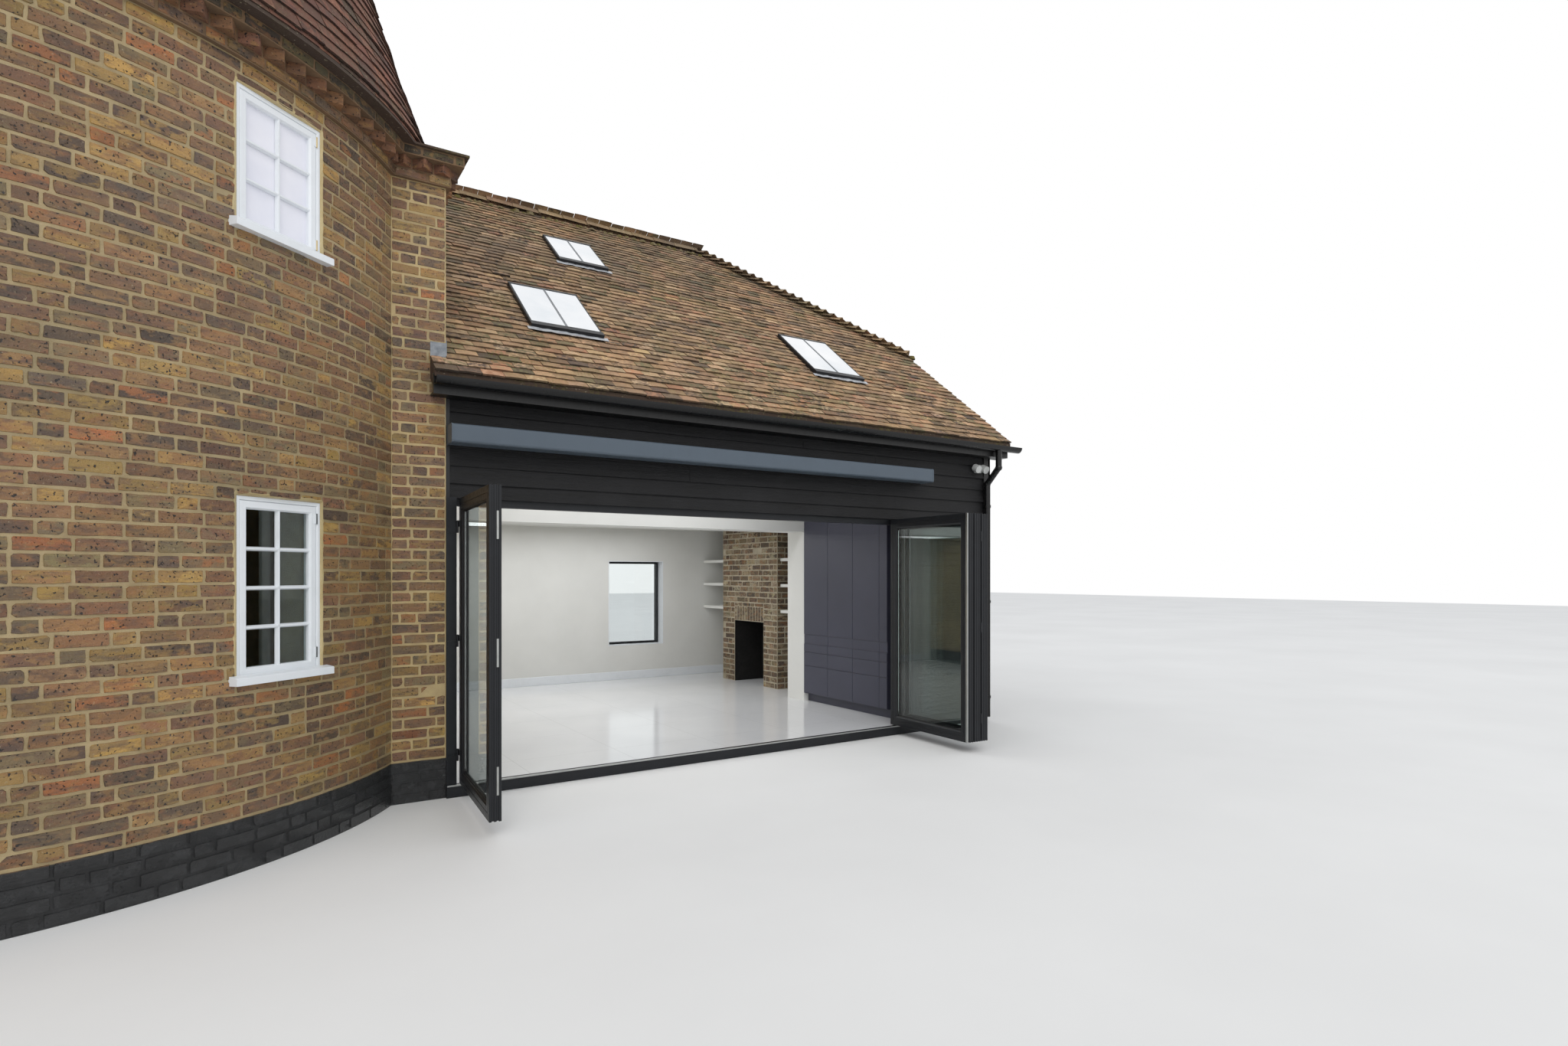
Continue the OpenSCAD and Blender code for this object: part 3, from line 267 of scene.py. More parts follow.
def moss_material():
    g = Graph("moss_and_mortar")
    green = g.stain((84, 78, 34), (128, 116, 58), (26.0, 5.0), (0.35, 0.65))
    colour = g.stain(green, (138, 124, 96), (7.0, 4.0), (0.42, 0.60))
    return g.set(Base_Color=colour, Roughness=0.95, Normal=g.bump(g.noise(110.0, 6.0, 0.75), 0.012))


def board_material():
    """Black stain on sawn boards: grain, knots and a soft worn sheen."""
    g = Graph("black_stained_boards")
    along = g.tint("along")
    grain = g.noise(34.0, 6.0, 0.7, along, (0.05, 1.0, 1.0))
    saw = g.noise(260.0, 3.0, 0.6, along, (0.10, 1.0, 1.0))
    colour = g.mix(g.scale(grain, 0.36, 0.64), (9, 9, 10), (27, 27, 29))
    colour = g.stain(colour, (36, 36, 38), (2.2, 4.0, 0.6), (0.48, 0.75, 0, 0.45))
    knots = g.node("TexVoronoi")
    knots.inputs["Scale"].default_value = 2.6
    g.put(knots.inputs["Vector"], g.mapping(along, (0.55, 1.0, 2.0)))
    colour = g.mix(g.scale(knots.outputs["Distance"], 0.03, 0.10, 1, 0), colour, (4, 4, 5))
    height = g.math("ADD", grain, g.math("MULTIPLY", saw, 0.5))
    return g.set(Base_Color=colour, Roughness=g.scale(grain, 0.3, 0.7, 0.46, 0.66), Specular_IOR_Level=0.32,
                 Normal=g.bump(height, 0.006))


def paint_material(name, tone, dark, rough):
    """Brushed paint with faint dirt."""
    g = Graph(name)
    brush = g.noise(90.0, 3.0, 0.6, None, (1.0, 1.0, 0.15))
    colour = g.stain(tone, dark, (5.0, 5.0, 0.65), (0.50, 0.85, 0, 0.35))
    return g.set(Base_Color=colour, Roughness=g.scale(brush, 0.3, 0.7, rough, rough + 0.12),
                 Normal=g.bump(brush, 0.0008))


def metal_material(name, tone, worn, rough, metallic=0.0, gloss=0.5):
    """Powder coat or rolled metal with a fine orange peel and rubbed patches."""
    g = Graph(name)
    colour = g.stain(tone, worn, (7.0, 4.0, 0.6), (0.45, 0.8, 0, 0.5))
    return g.set(Base_Color=colour, Metallic=metallic, Specular_IOR_Level=gloss,
                 Roughness=g.scale(g.noise(30.0), 0.3, 0.7, rough, rough + 0.1),
                 Normal=g.bump(g.noise(900.0, 2.0), 0.0003))


def plaster_material(name, tone, shade, rough):
    g = Graph(name)
    colour = g.stain(tone, shade, (1.3, 3.0), (0.4, 0.7, 0, 0.5))
    return g.set(Base_Color=colour, Roughness=rough, Normal=g.bump(g.noise(120.0, 4.0), 0.0006))


def boarded_wall_material():
    """Timber wall: black sheathing outside, white plaster inside."""
    g = Graph("sheathing_and_plaster")
    x, y = g.part("X"), g.part("Y")
    near, far = 0.26, 0.27
    across = g.math("MULTIPLY", g.scale(y, wing_front + near, wing_front + far, 0, 1),
                    g.scale(y, wing_rear - far, wing_rear - near, 1, 0))
    inside = g.math("MULTIPLY", g.scale(x, wing_x1 - far, wing_x1 - near, 1, 0), across)
    plaster = g.stain((226, 226, 222), (212, 212, 208), (1.3,), (0.4, 0.7, 0, 0.5))
    black = g.stain((20, 20, 22), (34, 34, 36), (20.0,), (0.4, 0.7))
    return g.set(Base_Color=g.mix(inside, black, plaster), Roughness=0.7,
                 Normal=g.bump(g.noise(120.0), 0.0006))


def glass_material(name, tone):
    g = Graph(name, Transmission_Weight=1.0, IOR=1.45, Roughness=0.0)
    return g.set(Base_Color=g.stain(tone, tuple(v - 4 for v in tone), (2.0,), (0.3, 0.7, 0, 1)))


def roundel_glass_material():
    """The upper panes are opaque and painted pale lavender-white, a painted reflection of the sky; the lower
    ones are clear before dark rooms.
    """
    g = Graph("roundel_glass", IOR=1.45)
    upper = g.scale(g.part("Z"), 2.5, 2.6)
    # Painted reflection: the sky's pale sheen painted into the upper panes' colour, with no light let through
    sky_reflection_paint = g.stain((234, 235, 246), (244, 244, 252), (2.5,), (0.35, 0.65))
    return g.set(Base_Color=g.mix(upper, (226, 240, 238), sky_reflection_paint), Roughness=g.scale(upper, 0, 1, 0.0, 0.22),
                 Transmission_Weight=g.math("SUBTRACT", 1.0, upper))


def sky_glass_material():
    """Rooflight panes that give back the white sky."""
    g = Graph("rooflight_pane", Metallic=0.85, Roughness=0.05)
    return g.set(Base_Color=g.stain((232, 237, 242), (250, 251, 253), (1.6, 3.0), (0.35, 0.65)))


def vane_material():
    """White board with a dark horse standing on it."""
    g = Graph("painted_vane")
    horse = g.scale(g.part("Z"), vane_top, vane_top + 0.002)
    board = g.stain((232, 236, 240), (206, 208, 208), (5.0, 5.0), (0.45, 0.8))
    iron = g.stain((42, 44, 52), (64, 64, 66), (12.0,), (0.4, 0.7))
    return g.set(Base_Color=g.mix(horse, board, iron), Roughness=0.4)


def wood_material(name, light, dark, rough=0.5):
    g = Graph(name)
    grain = g.noise(28.0, 6.0, 0.6, None, (0.08, 1.0, 1.0))
    return g.set(Base_Color=g.mix(g.scale(grain, 0.35, 0.65), light, dark), Roughness=rough,
                 Normal=g.bump(grain, 0.001))


def lead_material(name, tone, bloom):
    g = Graph(name)
    colour = g.stain(tone, bloom, (18.0, 5.0), (0.35, 0.7))
    return g.set(Base_Color=colour, Roughness=0.55, Metallic=0.35, Normal=g.bump(g.noise(35.0, 3.0), 0.004))


def floor_tile_material():
    """Large polished white tiles with fine joints."""
    g = Graph("polished_floor")
    half_tile = 0.45
    folds = [g.math("PINGPONG", g.part(axis), half_tile) for axis in ("X", "Y")]
    joint = g.math("MAXIMUM", *[g.scale(fold, 0.0010, 0.0018, 1, 0) for fold in folds])
    colour = g.stain((236, 237, 238), (226, 227, 229), (0.9,), (0.3, 0.7))
    return g.set(Base_Color=g.mix(joint, colour, (196, 197, 198)), Roughness=0.12,
                 Normal=g.bump(joint, 0.0004))


materials = {
    "brick": brick_material("stock_brick", 0.28),
    # Oversailing bricks: moss, soot and painted shade in their dark tones
    "cornice_brick": brick_material("mossy_shaded_brick", 0.45, False),
    "tooth_brick": brick_material("tooth_brick", 0.30, False),
    "room_brick": brick_material("room_brick", 0.15, False),
    "mortar": mortar_material("lime_mortar", (188, 167, 125), (163, 143, 104)),
    "pier_mortar": mortar_material("pier_mortar", (206, 182, 130), (182, 158, 112)),
    # Darker brown mortar for the cornice's joints and the gaps between its teeth
    "cornice_mortar": mortar_material("dark_cornice_mortar", (128, 100, 74), (104, 82, 62), False),
    "room_mortar": mortar_material("room_mortar", (196, 186, 164), (172, 162, 142), False),
    "fillet": mortar_material("fillet_mortar", (216, 196, 146), (194, 170, 118)),
    "cone_tile": tile_material("cone_clay_tile", (86, 84, 50), 0.35, 0.40, (58, 52, 48)),
    "wing_tile": tile_material("wing_clay_tile", (118, 116, 54), 0.60, 0.45, (96, 82, 66), 0.7),
    "moss": moss_material(),
    "boards": board_material(),
    "wall": boarded_wall_material(),
    "white_paint": paint_material("white_gloss", (236, 240, 244), (206, 210, 212), 0.28),
    "black_paint": paint_material("black_gloss", (9, 9, 10), (22, 22, 23), 0.36),
    "aluminium": metal_material("anthracite_powder_coat", (24, 26, 30), (34, 37, 42), 0.34, 0.0, 0.35),
    "gasket": metal_material("black_gasket", (14, 14, 15), (22, 22, 23), 0.60),
    "silver": metal_material("satin_steel", (176, 178, 176), (140, 142, 140), 0.30, 0.9),
    "bar_grey": metal_material("mill_grey_bar", (146, 150, 154), (116, 120, 124), 0.4, 0.3),
    "brass": metal_material("worn_brass", (214, 192, 140), (170, 142, 92), 0.35, 0.6),
    "iron": metal_material("blackened_steel", (54, 58, 60), (84, 86, 86), 0.5, 0.3),
    "soot": metal_material("sooty_lining", (22, 21, 21), (40, 38, 36), 0.85),
    "cassette": metal_material("slate_powder_coat", (86, 97, 108), (80, 90, 100), 0.40, 0.0, 0.35),
    "black_plastic": metal_material("gutter_plastic", (12, 12, 13), (20, 20, 21), 0.26, 0.0, 0.4),
    "vane": vane_material(),
    "plaster": plaster_material("white_plaster", (232, 232, 228), (220, 220, 216), 0.75),
    "ceiling": plaster_material("ceiling_paint", (214, 214, 208), (206, 206, 202), 0.85),
    "cupboard": plaster_material("slate_blue_lacquer", (66, 67, 82), (58, 59, 72), 0.38),
    "floor_tile": floor_tile_material(),
    "oak": wood_material("weathered_oak", (120, 92, 64), (84, 62, 44)),
    "floor_boards": wood_material("pine_boards", (176, 140, 96), (148, 112, 74), 0.45),
    "lead": lead_material("lead_sheet", (112, 118, 126), (152, 157, 162)),
    "pale_lead": lead_material("new_lead", (178, 182, 188), (212, 215, 218)),
    "pane": glass_material("window_glass", (240, 246, 246)),
    "leaf_pane": glass_material("leaf_glass", (238, 246, 244)),
    "roundel_pane": roundel_glass_material(),
    "sky_pane": sky_glass_material(),
    "lamp": metal_material("white_lamp", (206, 208, 206), (176, 178, 176), 0.45),
}

node_materials = {
    "mortar": ["roundel_wall_front", "roundel_wall_front_left", "roundel_wall_left", "roundel_wall_back_left",
               "roundel_wall_back", "roundel_wall_doorway_front", "roundel_wall_doorway_back",
               "roundel_wall_over_doorway", "party_wall"],
    "pier_mortar": ["pier"],
    "cornice_mortar": ["cornice"],
    "room_mortar": ["chimney_breast"],
    "wall": ["front_wall_over_doors", "front_wall_right", "right_wall", "rear_wall"],
    "floor_tile": ["roundel_floor", "wing_floor"],
    "floor_boards": ["roundel_upper_floor"],
    "ceiling": ["wing_upper_floor"],
    "plaster": ["portal", "alcove_shelves"],
    "white_paint": ["roundel_windows", "cowl_shell"],
    "vane": ["wind_vane"],
    "pane": ["rear_window_glass"],
    "roundel_pane": ["roundel_window_glass"],
    "sky_pane": ["rooflight_glass"],
    "leaf_pane": ["access_leaf_glass", "folded_leaf_glass"],
    "cone_tile": ["cone_roof"],
    "wing_tile": ["roof_front_slope", "roof_rear_slope", "roof_half_hip", "pier_cap", "ridge_tiles"],
    "lead": ["cowl_curb", "cowl_top_ring", "lead_flashing"],
    "aluminium": ["rooflight_frames", "door_frame", "access_leaf", "folded_leaves", "rear_window"],
    "oak": ["cowl_post"],
    "cupboard": ["fitted_cupboards"],
    "black_paint": ["fascia_and_soffit"],
    "black_plastic": ["gutters", "downpipes"],
    "cassette": ["awning_cassette"],
    "lamp": ["security_light"],
}
for key, names in node_materials.items():
    for name in names:
        cad_nodes[name].data.materials.clear()
        cad_nodes[name].data.materials.append(materials[key])


def paint_layer(mesh, layer, colours):
    """Keeps colours, as one for all or one a point, in a layer that materials read."""
    made = mesh.attributes.new(layer, "FLOAT_COLOR", "POINT")
    full = np.ones((len(mesh.vertices), 4))
    full[:, :3] = colours
    made.data.foreach_set("color", full.ravel())


def placed(name, data):
    """An object in the scene that holds a mesh, a lamp or the camera."""
    obj = bpy.data.objects.new(name, data)
    bpy.context.collection.objects.link(obj)
    return obj


def piece(name, verts, faces, material, body="house", smooth=False, **layers):
    """A mesh object that rides on a body, with its colour layers."""
    mesh = bpy.data.meshes.new(name)
    mesh.from_pydata(np.asarray(verts, float).reshape(-1, 3).tolist(), [], faces)
    mesh.materials.append(materials[material])
    for layer, colours in layers.items():
        paint_layer(mesh, layer, colours)
    mesh.polygons.foreach_set("use_smooth", [smooth] * len(mesh.polygons))
    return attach(placed(name, mesh), body)


def bevelled(obj, width):
    """Rounds every edge of a piece; a width of 0 leaves them sharp."""
    if width:
        made = obj.modifiers.new("bevel", "BEVEL")
        made.width, made.segments = width, 2
    return obj


def copies(points, faces):
    """Points (copies, corners, 3) of a repeated shape, with its faces for every copy."""
    count, size = points.shape[:2]
    return points.reshape(-1, 3), [tuple(k + size * i for k in face) for i in range(count) for face in faces]


def box_points(low, high):
    (x0, y0, z0), (x1, y1, z1) = low, high
    return [(x, y, z) for z in (z0, z1) for y in (y0, y1) for x in (x0, x1)]


BOX_FACES = [(0, 2, 3, 1), (4, 5, 7, 6), (0, 1, 5, 4), (2, 6, 7, 3), (0, 4, 6, 2), (1, 3, 7, 5)]


def boxes(name, corners, material, bevel):
    """Many boxes as one piece, with a bevel on every edge."""
    verts, faces = copies(np.array([box_points(*pair) for pair in corners], float), BOX_FACES)
    return bevelled(piece(name, verts, faces, material), bevel)


class Shape:
    """A mesh being made in a local frame: s along a face, w out of it and z up."""

    def __init__(self, origin=(0, 0, 0), along=(1, 0, 0), out=(0, -1, 0)):
        self.verts, self.faces = [], []
        self.at(origin, along, out)

    def at(self, origin, along, out, up=(0, 0, 1)):
        self.frame = np.array([along, out, up], float)
        self.origin = np.array(origin, float)
        return self

    def add(self, points, faces):
        base = len(self.verts)
        self.verts.extend(self.origin + np.asarray(points, float) @ self.frame)
        self.faces.extend(tuple(k + base for k in face) for face in faces)

    def box(self, low, high):
        self.add(box_points(low, high), BOX_FACES)

    def hoop(self, s0, s1, z0, z1, profile):
        """A mitred frame; its closed profile holds (inset from the outer edge, w)."""
        corners = ((s0, z0, 1, 1), (s1, z0, -1, 1), (s1, z1, -1, -1), (s0, z1, 1, -1))
        n = len(profile)
        self.add([(s + a * inset, w, z + b * inset) for s, z, a, b in corners for inset, w in profile],
                 [(c * n + k, (c + 1) % 4 * n + k, (c + 1) % 4 * n + (k + 1) % n, c * n + (k + 1) % n)
                  for c in range(4) for k in range(n)])

    def bar(self, profile, start, end, at=0.0, upright=False):
        """A straight bar; its profile holds (across, w) round its middle line."""
        ends = [(at + p, w, t) if upright else (t, w, at + p) for t in (start, end) for p, w in profile]
        n = len(profile)
        sides = [(k, (k + 1) % n, n + (k + 1) % n, n + k) for k in range(n)]
        self.add(ends, sides + [tuple(range(n)), tuple(range(2 * n - 1, n - 1, -1))])

    def rod(self, s, w, z0, z1, radius, sides=10):
        """An upright round bar."""
        turns = [2 * pi * k / sides for k in range(sides)]
        self.bar([(radius * cos(t), w + radius * sin(t)) for t in turns], z0, z1, s, True)

    def make(self, name, material, slot=None, body="house", bevel=0.0):
        obj = piece(name, self.verts, self.faces, material, body)
        shell = bmesh.new()
        shell.from_mesh(obj.data)
        bmesh.ops.recalc_face_normals(shell, faces=shell.faces)
        shell.to_mesh(obj.data)
        shell.free()
        bevelled(obj, bevel)
        return obj if slot else obj


def spans(start, end, units, shift=0.0, holes=(), least=0.05):
    """Cuts a run into lengths by a repeating list of units; slivers join their neighbour."""
    at, index, found = start - shift, 0, []
    while at < end:
        unit = units[index % len(units)]
        if min(at + unit, end) > max(at, start):
            found.append([max(at, start), min(at + unit, end), index % len(units)])
        at, index = at + unit, index + 1
    for low, high in holes:
        found = [[a, b, kind] for left, right, kind in found
                 for a, b in ((left, min(right, low)), (max(left, high), right)) if a < b]
    joined = []
    for a, b, kind in found:
        if joined and abs(joined[-1][1] - a) < 1e-6 and min(b - a, joined[-1][1] - joined[-1][0]) < least:
            joined[-1][1] = b
        else:
            joined.append([a, b, kind])
    return [s for s in joined if s[1] - s[0] > least / 2]


# Brickwork

def round_place(radius):
    """Places a length along the roundel, measured from the +X direction."""
    def place(s):
        t = s / radius
        return (radius * cos(t), radius * sin(t), 0), (-sin(t), cos(t), 0), (cos(t), sin(t), 0)
    return place


def flat_place(origin, along, out):
    """Places a length along a flat wall."""
    def place(s):
        return tuple(Vector(origin) + Vector(along) * s), along, out
    return place


def brick_rows(place, start, end, z0, z1, rows, holes=(), keep=None, units=brick_units, shift=0.0):
    """Bricks of a wall as (middle, along, out, half length, half height, kind)."""
    step = (z1 - z0) / rows
    slide = dice(f"bond{rows}").choice((-0.08, 0.0, 0.09), rows) if rows > 3 else [0.0] * rows
    found = []
    for row in range(rows):
        low, high = z0 + row * step + mortar_joint / 2, z0 + (row + 1) * step - mortar_joint / 2
        bond = shift + (0.62 * sum(units[:-1]) if row % 2 else 0) + slide[row]
        cuts = [h for h in holes if h[2] < high and h[3] > low]
        runs = [(s, low, high) for s in spans(start, end, units, bond, [h[:2] for h in cuts])]
        for s0, s1, h0, h1 in cuts:
            for part in spans(s0, s1, units, bond):
                if h0 - low > 0.03:
                    runs.append((part, low, h0))
                if high - h1 > 0.03:
                    runs.append((part, h1, high))
        for (a, b, kind), bottom, top in runs:
            middle = (a + b) / 2
            if keep and not keep(middle, bottom, top):
                continue
            origin, along, out = place(middle)
            found.append((origin[0], origin[1], (bottom + top) / 2, *along, *out,
                          (b - a - mortar_joint) / 2, (top - bottom) / 2, kind))
    return found


# A brick's outline: share of half length and half height, its corner, and the corner's cut along each way
BRICK_RING = np.array([
    (-1, -1, 0, 1, 0), (-0.35, -1, 0, 0, 0), (0.35, -1, 0, 0, 0), (1, -1, 1, 1, 0), (1, -1, 1, 0, 1),
    (1, 0, 0, 0, 0), (1, 1, 2, 0, 1), (1, 1, 2, 1, 0), (0.35, 1, 0, 0, 0), (-0.35, 1, 0, 0, 0),
    (-1, 1, 3, 1, 0), (-1, 1, 3, 0, 1), (-1, 0, 0, 0, 0), (-1, -1, 0, 0, 1)])

# Tones as (colour, weight)
stretcher_tones = [((129, 94, 69), 24), ((145, 107, 72), 22), ((160, 121, 76), 16), ((169, 136, 77), 12),
                   ((183, 145, 79), 7), ((90, 73, 59), 7), ((106, 86, 67), 11), ((136, 115, 81), 12),
                   ((181, 113, 63), 3)]
header_tones = [((97, 79, 63), 18), ((131, 99, 71), 22), ((167, 133, 79), 18), ((124, 106, 77), 16),
                ((183, 147, 79), 8), ((113, 84, 63), 12), ((176, 115, 65), 4)]
pale_tones = [((136, 118, 94), 20), ((114, 98, 80), 18), ((154, 138, 112), 16), ((98, 86, 74), 10),
              ((172, 160, 134), 10)]
# Oversailing course under the cone's eaves: dark greens and browns, partly moss and partly painted shade
mossy_shaded_tones = [((82, 72, 52), 20), ((70, 62, 48), 18), ((96, 86, 58), 14), ((60, 54, 44), 12)]
tooth_tones = [((150, 106, 74), 20), ((134, 94, 70), 16), ((168, 124, 84), 10), ((112, 82, 64), 8)]


def pick_tones(rng, tones, count, spread=0.10):
    """A tint for each copy, out of a weighted list of colours, each a little lighter or darker."""
    weights = np.array([w for _, w in tones], float)
    index = rng.choice(len(tones), count, p=weights / weights.sum())
    colours = np.array([linear(c) for c, _ in tones])[index]
    return np.clip(colours * rng.normal(1, spread, (count, 1)) * rng.normal(1, 0.03, (count, 3)), 0.003, 0.9)


def lay_bricks(name, rows, material="brick", tones=None):
    """One piece of many bricks with wavy edges and chipped corners, each tilted a little."""
    rng = dice(name)
    data = np.array(rows)
    count, ring = len(data), len(BRICK_RING)
    origin, along, out = data[:, None, 0:3], data[:, None, 3:6], data[:, None, 6:9]
    half_l, half_h, kind = data[:, 9, None], data[:, 10, None], data[:, 11]
    chips = rng.uniform(0.001, 0.005, (count, 4))
    chips += (rng.random((count, 4)) < 0.12) * rng.uniform(0.005, 0.011, (count, 4))
    chip = chips[:, BRICK_RING[:, 2].astype(int)]
    shake = rng.normal(0, 0.0015, (count, ring, 2))
    u, v = (BRICK_RING[:, i] * half - np.sign(BRICK_RING[:, i]) * BRICK_RING[:, 3 + i] * chip + shake[..., i]
            for i, half in enumerate((half_l, half_h)))
    lean = rng.normal(0, 0.006, (count, 2))
    face = brick_proud + rng.normal(0, 0.0012, (count, 1)) + lean[:, :1] * u + lean[:, 1:] * v * 1.5
    arris = 0.0022
    up = np.array((0, 0, 1.0))

    def points(uu, vv, ww):
        return origin + along * uu[..., None] + up * vv[..., None] + out * ww[..., None]

    outer = points(u, v, np.full_like(u, -0.002))
    front_u, front_v = (at * (1 - arris / np.maximum(half, 0.01)) for at, half in ((u, half_l), (v, half_h)))
    faces = [tuple(range(ring, 2 * ring))]
    faces += [(k, (k + 1) % ring, ring + (k + 1) % ring, ring + k) for k in range(ring)]
    verts, all_faces = copies(np.concatenate([outer, points(front_u, front_v, face)], 1), faces)
    if tones:
        tint, tint2 = (pick_tones(rng, tones, count, 0.15) for _ in range(2))
    else:
        long_tint, short_tint = (pick_tones(rng, way, count, 0.16) for way in (stretcher_tones, header_tones))
        tint = np.where(kind[:, None] < 2, long_tint, short_tint)
        tint2 = tint * 0.35 + 0.65 * pick_tones(rng, stretcher_tones, count)
    place = rng.uniform(0, 40, (count, 1, 3))
    repeat = 2 * ring
    own = np.stack([np.concatenate([u, front_u], 1), np.zeros((count, repeat)),
                    np.concatenate([v, front_v], 1)], 2) + place
    obj = piece(name, verts, all_faces, material, tint=np.repeat(tint, repeat, 0),
                tint2=np.repeat(tint2, repeat, 0), spot=own.reshape(-1, 3))
    return obj


wall_rows = round(wall_top / course)
pier_meet = asin(-pier_front / roundel_r)
link_meet_y = (roundel_r ** 2 - party_low.x ** 2) ** 0.5
link_meet = atan2(link_meet_y, party_low.x)
link_face_y = -0.45


def window_holes():
    """The windows' holes along the round wall, from the direction of +X round to the left."""
    half = roundel_r * asin(window_w / 2 / roundel_r)
    found = []
    for angle in window_angles:
        middle = (angle % (2 * pi)) * roundel_r
        for low, high in (upper_window, lower_window):
            found.append((middle - half, middle + half, low, high))
    return found


def roof_under(y):
    """Height of the underside of the wing's roof slabs."""
    front = eaves_z + (y - eaves_y) * tan(pitch)
    rear = high_eaves_z + (rear_eaves_y - y) * tan(pitch)
    return min(front, rear) - roof_depth


def roundel_bricks():
    """The round wall outside the wing, and the strip of it that stands over the wing's roof."""
    place = round_place(roundel_r)
    start, end = link_meet * roundel_r, (2 * pi - pier_meet) * roundel_r
    rows = brick_rows(place, start, end, 0, wall_top, wall_rows, window_holes())
    lay_bricks("roundel_bricks", rows)
    above = brick_rows(place, -asin(-link_face_y / roundel_r) * roundel_r, 0.6, 0, wall_top, wall_rows,
                       keep=lambda s, z0, z1: z0 > 4.0)
    lay_bricks("link_bricks_over_roof", above)


def pier_bricks():
    """The pier's front, and its right side where it stands over the roof."""
    left_x = (roundel_r ** 2 - pier_front ** 2) ** 0.5
    width = roundel_r - left_x
    front = brick_rows(flat_place((left_x, pier_front, 0), (1, 0, 0), (0, -1, 0)), 0, width,
                       0, wall_top, wall_rows, shift=brick_units[0] / 2)

    def over_roof(s, z0, z1):
        return z1 > eaves_z - 0.1 + (s + pier_front - eaves_y) * tan(pitch) * 0.9

    right = flat_place((roundel_r, pier_front, 0), (0, 1, 0), (1, 0, 0))
    side = brick_rows(right, 0, link_face_y - pier_front, 0, wall_top, wall_rows,
                      keep=over_roof, shift=brick_units[0])
    lay_bricks("pier_bricks", front + side)


def party_wall_bricks():
    """The wing's end wall beside the roundel, up to the roof, and its return at the rear."""
    end_rows, rear_rows = 81, 55
    end = flat_place((party_low.x, wing_rear, 0), (0, -1, 0), (-1, 0, 0))
    rows = brick_rows(end, 0, wing_rear - link_meet_y, 0, end_rows * course, end_rows,
                      keep=lambda s, z0, z1: z0 < roof_under(wing_rear - s) - 0.03)
    rear = flat_place((wing_x0, wing_rear, 0), (-1, 0, 0), (0, 1, 0))
    rows += brick_rows(rear, 0, wing_x0 - party_low.x, 0, rear_rows * course, rear_rows, shift=0.05)
    lay_bricks("party_wall_bricks", rows)


def window_fillets():
    """Bright mortar struck into the joint between each window and its bricks."""
    rng = dice("fillets")
    shape = Shape()
    for angle in window_angles:
        shape.at((0, 0, 0), (-sin(angle), cos(angle), 0), (cos(angle), sin(angle), 0))
        for z0, z1 in (upper_window, lower_window):
            half, high = window_w / 2, z1 - z0
            edges = ((-half, z0, 0, 1, -1, 0, high), (-half, z1, 1, 0, 0, 1, 2 * half),
                     (half, z1, 0, -1, 1, 0, high))
            points = []
            for s, z, ds, dz, ns, nz, length in edges:
                for step in np.linspace(0, length, round(length / 0.045) + 1):
                    spread = rng.uniform(0.010, 0.022)
                    section = ((spread, 0.0005), (spread * 0.5, 0.0042), (-0.003, 0.001), (-0.009, -0.0185))
                    for reach, proud in section:
                        at_s, at_z = s + ds * step + ns * reach, z + dz * step + nz * reach
                        wall = (roundel_r ** 2 - at_s ** 2) ** 0.5 if reach > -0.005 else roundel_r
                        points.append((at_s, wall + proud, at_z))
            stations = len(points) // 4
            shape.add(points, [(4 * i + k, 4 * i + k + 1, 4 * i + k + 5, 4 * i + k + 4)
                               for i in range(stations - 1) for k in range(3)])
    piece("window_fillets", shape.verts, shape.faces, "fillet")


def casements():
    """Each roundel window: outer frame, sash, glazing bars, hinges and sill."""
    white, upper_hinges, lower_hinges = Shape(), Shape(), Shape()
    half, deep = window_w / 2, -0.09
    frame_profile = [(0, deep), (0, 0), (0.027, 0), (0.031, -0.004), (0.031, deep)]
    sash_profile = [(0.0325, -0.062), (0.0325, -0.006), (0.036, -0.002), (0.070, -0.002), (0.079, -0.014),
                    (0.079, -0.062)]
    bar_profile = [(-0.012, -0.032), (-0.012, -0.024), (-0.005, -0.008), (0.005, -0.008), (0.012, -0.024),
                   (0.012, -0.032)]
    for angle in window_angles:
        out, along = np.array((cos(angle), sin(angle), 0)), (-sin(angle), cos(angle), 0)
        origin = out * (roundel_r - window_setback)
        for (z0, z1), rows, hinges in ((upper_window, 3, upper_hinges), (lower_window, 4, lower_hinges)):
            white.at(origin, along, out)
            hinges.at(origin, along, out)
            white.hoop(-half, half, z0, z1, frame_profile)
            foot = z0 + 0.012
            white.hoop(-half, half, foot, z1, sash_profile)
            white.bar(bar_profile, foot + 0.07, z1 - 0.07, 0, True)
            pane = (z1 - foot - 0.158) / rows
            for row in range(1, rows):
                white.bar(bar_profile, -half + 0.07, half - 0.07, foot + 0.079 + row * pane)
            front = window_setback + 0.045
            sill = [(-0.024, 0.0), (-0.024, front), (-0.020, front), (0.016, front), (0.021, front - 0.005),
                    (0.030, 0.0)]
            white.bar(sill, -half - 0.04, half + 0.04, z0 + 0.024)
            for share in (0.13, 0.90):
                middle = z0 + (z1 - z0) * share
                joint = half - 0.032
                hinges.rod(joint, 0.002, middle - 0.032, middle + 0.032, 0.0042)
                white.box((joint - 0.017, -0.003, middle - 0.030), (joint + 0.015, 0.0018, middle + 0.030))
    obj = white.make("roundel_casements", "white_paint", "white_timber", bevel=0.0012)
    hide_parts("roundel_windows")
    upper_hinges.make("brass_casement_hinges", "brass", bevel=0.0008)
    lower_hinges.make("steel_casement_hinges", "iron", bevel=0.0008)


